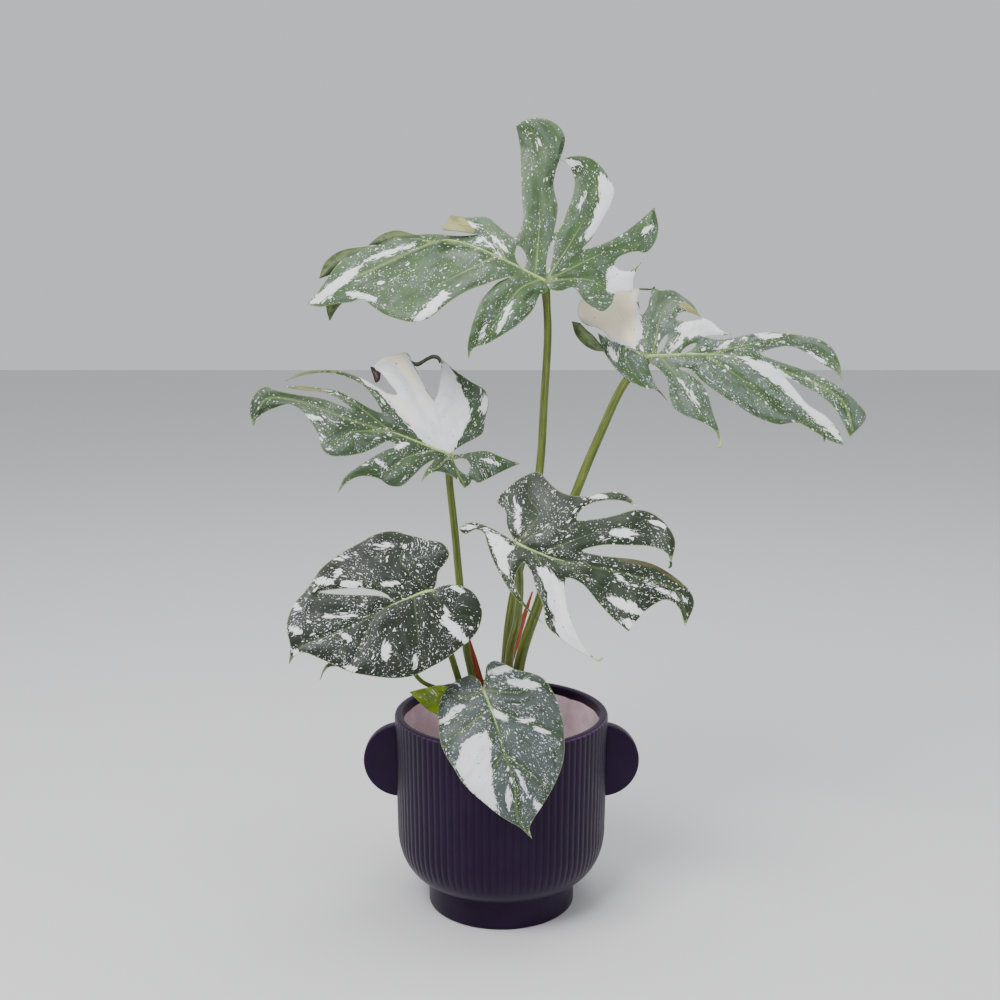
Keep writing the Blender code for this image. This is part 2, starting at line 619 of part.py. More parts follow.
LEAF_HIDDEN = dict(
    name="leaf_hidden", hub=(-100, -50, 155), lean=(-0.1, -0.2, 10),
    midrib=[(0, 0), (-15, -3), (-30, -6), (-45, -10), (-56, -13)],
    first=[
        [(5, 8), (4, 18), (-6, 24), (-18, 24)],
        seam(15, -31, 17),
        [(-39, 10), (-46, 4), (-52, -2)],
        seam(57, -59, -8)],
    end=[(-65, -13), tip(-70, -26, -4), (-66, -18)],
    second=[
        [(6, -5), (6, -13), (-2, -18), (-14, -20)],
        seam(15, -27, -19),
        [(-36, -17), (-44, -15), (-52, -14)],
        seam(57, -61, -14)],
    petiole=[(-28, -2, 0), (-54, -30, 105), (-76, -40, 122), (-88, -44, 138)], petiole_size=(2.8, 2.0))

LEAVES = [LEAF_TOP, LEAF_RIGHT, LEAF_LEFT, LEAF_MIDDLE, LEAF_BROAD, LEAF_FRONT, LEAF_YOUNG, LEAF_HIDDEN]

SHEATHS = {
    "sheath_right": dict(route=[(0, -1, 40), (-1, 0, 105), (6, -2, 126), (18, -6, 163), (30, -10, 202)],
                         sizes=(5.0, 1.2)),
    "sheath_left": dict(route=[(-6, -6, 40), (-19, -18, 107), (-26, -22, 140), (-31, -24, 160)],
                        sizes=(4.5, 1.5)),
}


def make_plant():
    leaf_green = finish("leaf_green", (0.09, 0.17, 0.07), 0.42)
    petiole_green = finish("petiole_green", (0.30, 0.38, 0.06), 0.45)
    papery = finish("papery_brown", (0.33, 0.06, 0.02), 0.75)
    make_stem(finish("stem_green", (0.20, 0.24, 0.08), 0.6))
    for leaf in LEAVES:
        blade = make_leaf(leaf, leaf_green)
        make_petiole(leaf, blade, petiole_green)
    for name, sheath in SHEATHS.items():
        tube(name, [above_soil(p) for p in sheath["route"]], sheath["sizes"], papery, 8, 0.3, (1, -0.4, 0))


def main():
    clear_scene()
    make_pot(finish("glaze", (0.035, 0.018, 0.045), 0.38))
    make_soil(finish("potting_mix", (0.05, 0.03, 0.02), 0.95))
    make_plant()


main()
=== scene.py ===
"""Looks of a potted variegated monstera: fluted pot, soil, stem, stalks, sheaths and eight leaves."""

import math

import bpy
import numpy as np
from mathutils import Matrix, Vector, noise
from mathutils.geometry import delaunay_2d_cdt


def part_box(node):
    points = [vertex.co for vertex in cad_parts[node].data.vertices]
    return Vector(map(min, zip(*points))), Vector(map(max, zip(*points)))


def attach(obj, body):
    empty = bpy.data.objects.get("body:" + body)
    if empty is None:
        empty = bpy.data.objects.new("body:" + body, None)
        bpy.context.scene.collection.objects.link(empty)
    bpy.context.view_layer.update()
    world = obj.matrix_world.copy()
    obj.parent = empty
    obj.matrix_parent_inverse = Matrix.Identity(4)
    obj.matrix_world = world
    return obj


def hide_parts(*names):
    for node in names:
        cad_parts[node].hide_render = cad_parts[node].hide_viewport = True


bl_info = {
    "name": "Potted Monstera",
    "version": (1, 0, 0),
    "blender": (4, 5, 0),
    "location": "View3D > Sidebar > Monstera",
    "description": "Makes a variegated monstera in a fluted pot around its fixed frame",
    "category": "Object",
}

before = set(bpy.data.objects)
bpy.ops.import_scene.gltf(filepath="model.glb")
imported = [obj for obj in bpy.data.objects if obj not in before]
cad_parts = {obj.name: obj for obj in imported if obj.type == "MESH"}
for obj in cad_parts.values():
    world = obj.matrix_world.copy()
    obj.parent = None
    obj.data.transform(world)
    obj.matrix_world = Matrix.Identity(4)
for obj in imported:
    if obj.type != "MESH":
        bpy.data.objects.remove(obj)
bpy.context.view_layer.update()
POT_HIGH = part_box("pot")[1]
SOIL_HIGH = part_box("soil")[1]

MM = 0.001
RIM = POT_HIGH.y / MM                 # the pot's round outside, without its ears
TOP = POT_HIGH.z / MM
SOIL = SOIL_HIGH.z / MM + 0.3         # the level that the plant is measured from
EYE = Vector((-1.0, -1230.0, SOIL + 495.6))


# ---------------------------------------------------------------- settings

def length(name, description, default, low, high):
    """A length setting, given in millimetres."""
    return bpy.props.FloatProperty(name=name, description=description, default=default * MM,
                                   min=low * MM, max=high * MM, subtype="DISTANCE", unit="LENGTH")


def colour(name, description, default):
    """A colour setting."""
    return bpy.props.FloatVectorProperty(name=name, description=description, default=default,
                                         size=3, min=0, max=1, subtype="COLOR")


class PotSettings(bpy.types.PropertyGroup):
    reeds: bpy.props.IntProperty(name="Reeds", description="Upright ribs round the wall",
                                 default=90, min=24, max=140)
    reed_depth: length("Reed depth", "Depth of the groove between two reeds", 0.85, 0, 2)
    glaze_line: length("Glaze line", "How far the dark glaze runs down inside the rim", 9.5, 2, 40)
    glaze: colour("Glaze", "Dark satin glaze", (0.0105, 0.0052, 0.0155))
    # Painted highlight together with thin glaze: the paler purple on the reeds' crests, the lip, the foot's
    # edge and the ears' edges.
    glaze_break_and_highlight: colour("Glaze edge", "Where the glaze breaks thin over an edge", (0.115, 0.050, 0.140))
    clay: colour("Bare clay", "The inside below the glaze", (0.88, 0.66, 0.74))


class LeafSettings(bpy.types.PropertyGroup):
    thickness: length("Thickness", "Thickness of a blade", 0.8, 0.3, 2)
    spacing: length("Mesh spacing", "Distance between the points of a blade", 2.2, 1.5, 8)
    dark: colour("Dark green", "Beside the veins", (0.044, 0.084, 0.028))
    grey: colour("Grey green", "Marbling between the veins", (0.128, 0.165, 0.150))
    white: colour("White", "Splashes and whole white lobes", (0.76, 0.76, 0.78))
    cream: colour("Cream", "Older white lobes", (0.93, 0.83, 0.60))
    lime: colour("Lime", "Midrib and veins", (0.33, 0.47, 0.14))
    young: colour("Young green", "The newest leaf", (0.29, 0.42, 0.018))
    olive: colour("Olive", "Underside where a lobe folds over", (0.24, 0.235, 0.085))


class StalkSettings(bpy.types.PropertyGroup):
    green: colour("Stalk green", "The stalks' main colour", (0.092, 0.124, 0.016))
    yellow: colour("Stalk yellow", "Long pale streaks", (0.30, 0.33, 0.06))
    rust: colour("Rust", "Dry sheaths", (0.42, 0.075, 0.018))


class SoilSettings(bpy.types.PropertyGroup):
    crumbs: bpy.props.IntProperty(name="Crumbs", description="Loose bits lying on the soil",
                                  default=170, min=0, max=600)
    brown: colour("Soil brown", "Moist potting mix", (0.045, 0.027, 0.016))


class StageSettings(bpy.types.PropertyGroup):
    floor: colour("Floor", "Plain pale floor", (0.66, 0.66, 0.67))
    light: bpy.props.FloatProperty(name="Key light", description="Power of the main light in watts",
                                   default=84.0, min=0, max=500)


# ---------------------------------------------------------------- the leaves' drawings
#
# Millimetres from the stalk's end, x to the right and y up as seen from the front. A third number
# lifts a point towards the front. A half goes round the margin from the stalk to the last lobe, with
# a cut between two lobes: its point is a slit's inner end or a shallow dent in the margin. A cut may
# hold a hole between two shares of its line, with a half width on each side.

def tip(x, y, lift=0):
    """A sharp point of the margin."""
    return (x, y, lift, "tip")


def slit(root, x, y, lift=0, hole=None, via=()):
    """A slit that ends at x, y, or a dent there. root is how far along the midrib its line starts."""
    return {"root": root, "at": (x, y, lift), "hole": hole, "via": list(via)}


HANG_OVER = 20.0                      # the front leaf's hub is this far inside the rim

LEAF_TOP = dict(
    name="leaf_top", hub=(41, 0, 497), lean=(-0.15, -0.35, 6),
    midrib=[(0, 0), (-10, 5), (-20, 10), (-36, 18), (-58, 28), (-75, 34), (-95, 37)],
    first=[
        [(5, -8, 2), (15, -9), (26, -6), (37, -19, 3), (46, -25, 4), (54, -28, 4), (62, -21, 3),
         (66, -11), (81, -8), (82, 2), tip(92, 22), (85, 13), (77, 9), (69, 10)],
        slit(0, 64, 15),
        [(67, 21), (75, 25), (85, 27), (93, 26), (101, 35), (104, 48), tip(100, 67, 6), (90, 58),
         (78, 48), (64, 39), (48, 32)],
        slit(0, 34, 29),
        [(42, 38), (52, 55), (60, 70), (63, 82), (58, 93), (50, 104), (38, 112, 4), (26, 113, 6),
         tip(13, 110, 10), (21, 104, 4), (26, 93), (25, 79), (19, 62), (14, 49)],
        slit(0, 8, 44, 0, (0.15, 0.85, (2.5, 2.5))),
        [(10, 56), (11, 68), (7, 88), (11, 106), (16, 120, 4), (17, 130, 6), (13, 138, 6),
         (5, 144, 6), (-8, 147, 6), (-19, 145, 8), tip(-28, 141, 10), (-24, 122), (-23, 98),
         (-22, 74), (-21, 55)],
        slit(22, -28, 40, 0, (0.05, 0.75, (5, 5))),
        [(-36, 44, -6), (-46, 52, -14), (-54, 58, -20), (-74, 58, -20), tip(-88, 60, -12),
         (-93, 53, -6), (-96, 48, -3), (-80, 45.5, -4)],
        slit(58, -64, 42.5, -8),
        [(-80, 41, -16), (-97, 42.5, -28), (-111, 43, -36), (-126, 41, -38), (-142, 39, -36)],
        slit(95, -157, 33, -26)],
    end=[(-172, 29, -22), (-186, 22, -18), (-197, 12, -12), (-208, -3, -6),
                            tip(-224, -22, 0), (-211, -24, 4), (-196, -21, 8), (-184, -20, 12)],
    second=[
        [(2, -9), (-5, -13), (-10, -24, 2), (-15, -31, 4), (-26, -41, 6), (-40, -50, 6), (-54, -58, 4),
         (-68, -63, 2), tip(-72, -73, -2), (-73, -63, 2), (-71, -50, 6), (-66, -33, 8), (-60, -18, 8),
         (-52, -8.5, 4), (-44, -1.5)],
        slit(8, -32, 4),
        [(-45, 1, 4), (-56, -3, 10), (-68, -7, 16), (-80, -13, 22), (-92, -21, 26), (-104, -31, 30),
         (-115, -37, 30), (-127, -38, 28), (-140, -35, 26), (-151, -31, 22), (-162, -24, 18)],
        slit(95, -172, -17, 14)],
    petiole=[(4, 16, 0), (4, 15, 122), (11, 16, 187), (26, 18, 252), (37, 18, 316), (41, 16, 384),
             (44, 12, 451)], petiole_size=(5.0, 3.6))

LEAF_RIGHT = dict(
    name="leaf_right", hub=(140, 20, 426), lean=(0.12, -0.3, 6),
    midrib=[(0, 0), (20, 1), (40, 2), (60, 2), (85, 0)],
    first=[
        [(1, -9, -4), (4, -18, -6), (8, -27, -6), tip(21, -44, -2), (10, -33, -4), (-3, -30, -6),
         (-18, -23, -8), (-31, -11, -8), (-41, 3, -6), (-46, 15, -4), tip(-48, 22, -2), (-42, 19.5, -2)],
        slit(0, -34, 13.5, -2),
        [(-41, 22, -3), (-49, 27, -6), (-58, 29, -8), (-66, 36, -8), (-66, 50, -8), (-55, 61, -6),
         (-35, 63, -4), (-20, 63, -4), (-9, 64, -2), (-10, 54, -2), (-8, 45, -2)],
        slit(0, -6, 39),
        [(-1, 46), (1, 55), (4, 64), (12, 62), (21, 63, -2), (32, 57, -2), (42, 49, 2),
         tip(50, 37, 8), (40, 41, 2), (31, 42)],
        slit(8, 26, 35, 0, (0.05, 0.6, (2.5, 2.5))),
        [(34, 33), (43, 34), (52, 36), (61, 32), (69, 25, 2), tip(80, 21, 6), (71, 20, 2), (62, 20)],
        slit(30, 55, 18.5, 0, (0.05, 0.65, (2.5, 2.5))),
        [(66, 16), (80, 17.5), (95, 21), (115, 23), (145, 20, 2), (162, 16, 4), (173, 8, 6), (181, -9, 8),
         tip(183, -22, 10), (176, -13, 6), (163, -6, 4), (149, 4, 2), (134, 10), (118, 8)],
        slit(85, 106, 3)],
    end=[(120, -3), (138, -9), (160, -17), (178, -26.5, 4), (198, -43, 6),
                            (206, -56, 4), tip(192, -75, 8), (186, -64, 6), (176, -47, 4),
                            (160, -34, 2), (145, -26)],
    second=[
        [(4, -8), (11, -12), (19, -22), (21, -36), (25, -48), (36, -56), (52, -62), (65, -70),
         tip(71, -84, -4), (69, -70), (63, -53), (58, -36), (52, -26), (42, -18)],
        slit(22, 30, -11),
        [(40, -12), (52, -23), (68, -35), (84, -45), (100, -55), (114, -61), (126, -64), (142, -62),
         (160, -71, 4), (174, -79, 6), tip(187, -83, 10), (180, -68, 6), (168, -55, 4), (152, -45, 2),
         (140, -31)],
        slit(85, 130, -19)],
    petiole=[(17, 9, 0), (17, 11, 117), (38, 18, 187), (54, 22, 236), (72, 26, 290), (96, 30, 349),
             (120, 32, 400)], petiole_size=(6.6, 3.9))

LEAF_LEFT = dict(
    name="leaf_left", hub=(-49, -10, 335), lean=(-0.15, -0.25, 6),
    midrib=[(0, 0), (-15, 6), (-30, 12), (-50, 20), (-70, 26), (-90, 32)],
    first=[
        [(6, 5), (14, 10), (24, 15), (31, 20), (34, 34, -2), (37, 48, -4), (34, 60, -4), (20, 69, -4),
         (6, 79, -2), tip(-7, 90), (-8, 76), (-10, 62)],
        slit(0, -14, 52),
        [(-19, 57), (-26, 70), (-33, 84), (-40, 96, -2), (-50, 94, -4), (-62, 92, -6), tip(-73, 82, -8),
         (-64, 77, -2), (-56, 67)],
        slit(0, -49, 57),
        [(-58, 58), (-68, 64), (-84, 73), (-101, 79, -4), (-120, 80, -8), (-140, 77, -12),
         tip(-155, 69.5, -14), (-138, 75, -12), (-116, 77.5, -8), (-98, 74, -4), (-82, 66), (-71, 54)],
        slit(25, -64, 40),
        [(-75, 44), (-90, 53), (-104, 60, -2), (-122, 63, -4), (-140, 65, -6), tip(-155, 64.5, -6),
         (-138, 61.3, -4), (-118, 59, -2), (-104, 52.5)],
        slit(92, -92, 43.5)],
    end=[(-104, 47.5), (-120, 53.5), (-142, 57, 2), (-160, 60.5, 2), (-173, 64.5), (-184, 55, -2),
                            (-187, 42, -6), tip(-184, 28, -12), (-178, 37, -6), (-163, 45, -2), (-150, 48),
                            (-139, 42)],
    second=[
        [(8, 0), (20, 2), (35, 3), (50, -3, 2), tip(67, -9, 4), (57, -13, 4), (46, -18, 4), (34, -24, 4),
         (27, -27, 4)],
        slit(0, 21, -24, 2, (0.2, 0.8, (9, 3))),
        [(19, -28, 2), tip(14, -32, 2), (7, -24, 2)],
        slit(0, -3, -18, 2),
        [(-12, -16, 3), (-19, -18, 4), tip(-27, -26, 6), (-23, -16, 4)],
        slit(0, -15, -5, 2),
        [(-24, -10, 2), (-35, -20.5, 4), (-46, -29.5, 4), (-57, -29, 4), (-68, -22, 4), (-83, -20, 4),
         (-96, -25, 2), tip(-106, -36, -2), (-99, -21, 2), (-88, -12, 4), (-74, -3, 4), (-61, 4, 2)],
        slit(25, -50, 9),
        [(-58, 13), (-68, 8, 2), (-82, 2, 4), (-100, -1, 6), (-113, 0, 6), (-120, 6, 6), (-123, 18, 4)],
        slit(92, -130, 31, 2)],
    petiole=[(-16, 8, 0), (-29, 6, 114), (-34, 6, 139), (-40, 4, 200), (-45, 2, 260), (-50, -1, 315)],
    petiole_size=(4.8, 3.4))

LEAF_MIDDLE = dict(
    name="leaf_middle", hub=(13, -75, 263), lean=(0.1, -0.3, 6),
    midrib=[(0, 0), (10, -5), (20, -9), (30, -13), (42, -16)],
    first=[
        [(-4, 7), (-8, 16), (-9, 28), (-17, 38, -2), (-8, 49, -2), (5, 59, -4), (20, 64, -6),
         (29, 56, -4), (39, 47, -2)],
        slit(0, 50, 43, -2),
        [(62, 42, -2), (78, 45, -2), (92, 46, -2), (102, 42, 0), tip(111, 31, 4), (101, 37), (88, 39),
         (72, 37), (60, 31)],
        slit(6, 55, 21),
        [(68, 21), (86, 24), (110, 30), (123, 27), (136, 17, 2), (144, 2, 4), tip(141, -17, 6),
         (135, -8, 4), (122, -3, 2), (100, -2), (78, -2)],
        slit(42, 60, -7)],
    end=[(74, -11), (90, -13), (108, -15), (126, -20, -2), (144, -31, -2), (157, -43),
                            (161, -54, 2), tip(153, -75, 6), (147, -58, 4), (136, -51, 2)],
    second=[
        [(-6, 4), (-14, 9), (-24, 14), (-36, 18, -2), (-46, 17, -4), (-51, 12, -4), (-46, 8, -4),
         (-36, 12, -2)],
        slit(0, -29, 9, 0),
        [(-26, 0), (-22, -12, 2), (-14, -29, 4), (-4, -45, 4), (10, -60, 2), tip(26, -74, -2),
         (13, -61, 2), (4, -48, 4), (-1, -34, 4)],
        slit(5, 7, -18, 2),
        [(14, -26, 2), (18, -40, 4), (25, -57, 6), (28, -74, 6), (40, -86, 6), (57, -98, 4),
         tip(73, -106, 0), (61, -92, 4), (52, -74, 4), (46, -54, 2)],
        slit(28, 46, -32),
        [(60, -37), (74, -53), (87, -67, 2), tip(102, -80, 6), (110, -69, 4)],
        slit(42, 121, -58, 2)],
    petiole=[(8, -13, 0), (8, -26, 144), (15, -42, 182), (17, -60, 224), (15, -72, 246)],
    petiole_size=(5.6, 3.3))

LEAF_BROAD = dict(
    name="leaf_broad", hub=(-62, -85, 221), lean=(-0.15, -0.3, 6),
    midrib=[(0, 0), (-10, -2), (-20, -6), (-35, -12), (-50, -19), (-65, -27), (-80, -34)],
    first=[
        [(3, 6), (5, 17), (10, 23), (15, 32, -2), (10, 42, -4), (-5, 46, -6), (-20, 50, -6),
         (-37, 54, -6), (-52, 51, -4)],
        slit(6, -65, 44, -4),
        [(-80, 36, -3), (-92, 28, -2), (-102, 19), (-109, 8)],
        slit(35, -116, -1, 0, (0.05, 0.85, (3, 3)), [(-45, -3), (-98, 0)]),
        [(-124, -10), (-129, -20), (-131, -29)],
        slit(80, -130, -38, 0)],
    end=[(-128, -48, -1), tip(-129, -64, -6), (-124, -57, -2), (-116, -54, 0)],
    second=[
        [(5, 3), (16, 5), (28, 3), (38, -4, 2), (44, -18, 2), (42, -32, 2), (36, -42, 2)],
        slit(6, 24, -52, 2),
        [(12, -61, 2), (-3, -69, 2), (-18, -76, 2), (-33, -78, 2)],
        slit(30, -47, -77, 2),
        [(-60, -75, 2), (-74, -72, 2), (-90, -65, 1)],
        slit(80, -105, -58, 0)],
    petiole=[(-19, -8, 0), (-39, -32, 113), (-45, -43, 140), (-52, -57, 168), (-59, -73, 200)],
    petiole_size=(4.2, 2.8))

LEAF_FRONT = dict(
    name="leaf_front", hub=(-17, HANG_OVER - RIM, 129), lean=(0.0, -0.4, 22),
    midrib=[(0, 0), (4, -10), (8, -20), (12, -32), (16, -45), (20, -60), (24, -72), (28, -85)],
    first=[
        [(-2, 5), (-5, 9), (-12, 12), (-20, 9), (-30, 3), (-37, -6), (-40, -15)],
        slit(4, -41, -26),
        [(-40, -38), (-38, -50), (-33, -61)],
        slit(34, -26, -72),
        [(-20, -82), (-10, -93), (2, -103)],
        slit(88, 13, -112)],
    end=[(24, -119), (33, -124), tip(44, -134, -4), (42, -124)],
    second=[
        [(2, 10), (4, 21), (10, 25), (20, 22), (30, 17, -2), (44, 14, -2), (55, 9), (65, -5)],
        slit(4, 70, -18),
        [(73, -31), (74, -45), (74, -57)],
        slit(34, 72, -68),
        [(68, -79), (62, -91), (54, -104)],
        slit(88, 47, -114)],
    petiole=[(-6, -18, 0), (-9, -30, 40), (-14, HANG_OVER - RIM + 37, 85),
             (-17, HANG_OVER - RIM + 15, 118)], petiole_size=(4.2, 2.8))

LEAF_YOUNG = dict(
    name="leaf_young", hub=(-37, -52, 101), lean=(-0.1, -0.3, 10),
    midrib=[(0, 0), (-12, 3), (-24, 6), (-36, 10)],
    first=[
        [(3, 5), (1, 12), (-6, 16), (-14, 19), (-21, 20)],
        slit(12, -27, 19, -1),
        [(-32, 18), (-37, 17), (-41, 16)],
        slit(37, -45, 15)],
    end=[tip(-50, 14), (-47, 11)],
    second=[
        [(5, -3), (4, -9), (-3, -12), (-11, -12), (-18, -10)],
        slit(12, -25, -7, 1),
        [(-31, -4), (-35, -1), (-39, 3)],
        slit(37, -44, 8)],
    petiole=[(-16, -24, 0), (-28, -40, 55), (-34, -44, 80)], petiole_size=(2.6, 2.0))

LEAF_HIDDEN = dict(
    name="leaf_hidden", hub=(-100, -50, 155), lean=(-0.1, -0.2, 10),
    midrib=[(0, 0), (-15, -3), (-30, -6), (-45, -10), (-56, -13)],
    first=[
        [(5, 8), (4, 18), (-6, 24), (-18, 24)],
        slit(15, -31, 17),
        [(-39, 10), (-46, 4), (-52, -2)],
        slit(57, -59, -8)],
    end=[(-65, -13), tip(-70, -26, -4), (-66, -18)],
    second=[
        [(6, -5), (6, -13), (-2, -18), (-14, -20)],
        slit(15, -27, -19),
        [(-36, -17), (-44, -15), (-52, -14)],
        slit(57, -61, -14)],
    petiole=[(-28, -2, 0), (-54, -30, 105), (-76, -40, 122), (-88, -44, 138)], petiole_size=(2.8, 2.0))

LEAVES = [LEAF_TOP, LEAF_RIGHT, LEAF_LEFT, LEAF_MIDDLE, LEAF_BROAD, LEAF_FRONT, LEAF_YOUNG, LEAF_HIDDEN]

# What is painted on each blade. white, cream and olive hold areas, and streaks (white) and dark hold
# lines, each from x, y to x, y with a width; the dark lines are painted shade along folds and along
# the edges of lobes that lie over others. flecks is how thickly the small white flecks lie, grey how
# far the green is marbled with grey, and the shade number is painted shade: how far the blade's green
# is darkened, the lower blades most, as though they lay in shade.
PAINT = {
    "leaf_top": dict(
        flecks=0.60, grey=0.35, painted_shade=1.05,
        white=[[(-227, -24), (-205, -5), (-185, 10), (-171, 15), (-178, 4), (-195, -8), (-210, -20)],
               [(-96, -8), (-89, -12), (-103, -28), (-117, -39), (-125, -36), (-108, -20)],
               [(52, 98), (64, 84), (60, 66), (48, 45), (38, 36), (35, 41), (44, 58), (50, 78), (47, 94)],
               [(57, -10), (57, 10), (64, 15), (82, 8), (95, 24), (84, 0), (84, -12), (66, -13)]],
        streaks=[(-170, 19, -122, 33, 5), (-186, -11, -160, -17, 7), (15, 109, 30, 106, 6),
                 (-80, 52, -60, 50, 4), (-56, 38, -40, 22, 4), (-49, 41, -36, 27, 4), (-67, 34, -55, 40, 4),
                 (3, 24, 8, 36, 4), (-45, -48, -30, -18, 5), (-62, -58, -56, -40, 4), (-8, 118, -6, 128, 4),
                 (90, 44, 98, 50, 5), (30, 62, 36, 80, 4)],
        olive=[[(-90, 62), (-98, 46), (-78, 44), (-64, 44), (-75, 57)]],
        dark=[(-157, 33, -140, 41, 5), (-140, 41, -115, 41, 5), (-190, 22, -172, 30, 6),
              (3, 85, 9, 100, 4), (12, 114, 17, 130, 5), (-20, -18, -10, -8, 5)]),
    "leaf_right": dict(
        flecks=0.80, grey=0.60, painted_shade=0.98,
        white=[[(-12, 7), (-33, 14), (-58, 28), (-70, 36), (-70, 50), (-56, 65), (-20, 67), (-6, 65),
                (-11, 50), (-8, 40), (-4, 22)],
               [(27, 25), (36, 33), (52, 38), (62, 33), (82, 21), (62, 19), (48, 20), (38, 16)],
               [(85, 0), (105, -2), (128, -14), (150, -30), (170, -55), (189, -82), (176, -74),
                (150, -52), (128, -31), (106, -15)]],
        streaks=[(20, 3, 38, 24, 5), (100, 20, 125, 20, 5), (65, 6, 80, 15, 5), (-36, 8, -29, -6, 6),
                 (38, -30, 50, -48, 4), (30, -22, 36, -30, 4), (150, 5, 168, -6, 4)],
        olive=[[(27, 49), (34, 52), (52, 38), (48, 36), (38, 42)],
               [(142, -59), (152, -66), (168, -75), (160, -76), (148, -70)]],
        dark=[(8, -30, 18, -42, 3)],
        cream=[[(-12, 7), (-33, 14), (-58, 28), (-72, 36), (-72, 52), (-56, 68), (-20, 70), (-2, 68),
                (-9, 50), (-6, 40), (-4, 22)]]),
    "leaf_left": dict(
        flecks=0.70, grey=0.40, painted_shade=0.72,
        white=[[(-72, 66), (-48, 38), (-25, 12), (0, 0), (5, 5), (20, 35), (18, 50), (10, 65), (1, 84),
                (-7, 92), (-11, 62), (-14, 50), (-20, 60), (-33, 84), (-42, 99), (-62, 96), (-77, 83),
                (-58, 66), (-50, 56)]],
        streaks=[(-55, 56, -84, 73, 5), (33, 38, 34, 57, 6), (-90, 17, -84, 17, 4), (-52, 7, -40, 10, 6),
                 (-135, 38, -120, 34, 5), (30, -4, 48, -10, 4), (-104, 57, -125, 62, 3),
                 (-70, -5, -60, -12, 4)],
        olive=[[(-157, 62), (-120, 57), (-112, 60), (-140, 65)], [(-138, 80), (-112, 77), (-125, 73)]],
        dark=[(-182, 38, -172, 46, 5), (-172, 46, -145, 46, 5)],
        cream=[[(-46, 100), (-24, 66), (-12, 46), (-18, 44), (-30, 62), (-54, 88), (-78, 84), (-60, 102)],
               [(-77, 70), (-48, 42), (-30, 22), (-26, 24), (-44, 48), (-72, 74)]]),
    "leaf_middle": dict(
        flecks=0.85, grey=0.30, painted_shade=0.28,
        white=[[(18, -22), (28, -22), (44, -38), (50, -60), (61, -88), (74, -107), (56, -99), (38, -86),
                (33, -65), (25, -38)],
               [(-31, 15), (-15, 6), (0, -5), (-8, -12), (-5, -30), (0, -44), (-14, -22), (-24, 0)]],
        streaks=[(2, 10, 2, 34, 6), (66, 42, 82, 42, 5), (86, 9, 110, 9, 8), (122, 19, 136, 15, 6),
                 (85, -50, 115, -64, 10), (96, -70, 108, -76, 8), (120, -37, 158, -54, 4),
                 (90, -28, 102, -38, 4), (-48, 13, -36, 15, 5)],
        olive=[[(87, -13), (97, -10), (110, -14), (125, -19), (138, -26), (150, -36), (160, -46),
                (150, -40), (138, -31), (125, -23), (110, -20), (95, -17)]],
        dark=[(2, -48, 24, -73, 4)]),
    "leaf_broad": dict(
        flecks=0.90, grey=0.50, painted_shade=0.20,
        streaks=[(-106, 10, -90, 9, 7), (-88, 13, -82, 21, 6), (-82, 6, -64, 7, 7), (-46, 6, -31, 7, 5),
                 (-52, 41, -36, 41, 4), (-88, 30, -76, 31, 4), (-27, 40, -22, 40, 5), (10, -25, 30, -47, 10),
                 (-42, -47, -43, -61, 9), (-17, -55, -17, -71, 4), (-128, -31, -118, -37, 6),
                 (-129, -9, -118, -16, 6), (-98, -22, -67, -22, 4), (-84, -36, -73, -45, 6),
                 (-80, -67, -67, -71, 5), (-127, -51, -117, -58, 6), (17, 3, 27, -1, 6),
                 (10, -14, 14, -22, 4)]),
    "leaf_front": dict(
        flecks=1.00, grey=1.00, painted_shade=0.50,
        white=[[(-15, -45), (3, -38), (7, -50), (9, -90), (15, -113), (3, -105), (-12, -91), (-25, -70),
                (-20, -50)],
               [(3, 14), (12, 19), (28, 23), (31, 18), (14, 12)]],
        streaks=[(-38, -30, -18, -15, 7), (24, 6, 52, 2, 9), (9, -21, 22, -28, 7), (31, -28, 46, -29, 4),
                 (48, -36, 60, -41, 4), (22, -89, 24, -109, 5), (46, -99, 52, -112, 6),
                 (30, -72, 42, -98, 3)]),
    "leaf_young": dict(
        flecks=0.30, grey=0.0, painted_shade=1.0,
        streaks=[(-10, -6, -4, -9, 4), (-30, 14, -24, 12, 3)]),
    "leaf_hidden": dict(
        flecks=0.45, grey=0.5, painted_shade=0.45,
        streaks=[(-30, 8, -20, 12, 4)]),
}

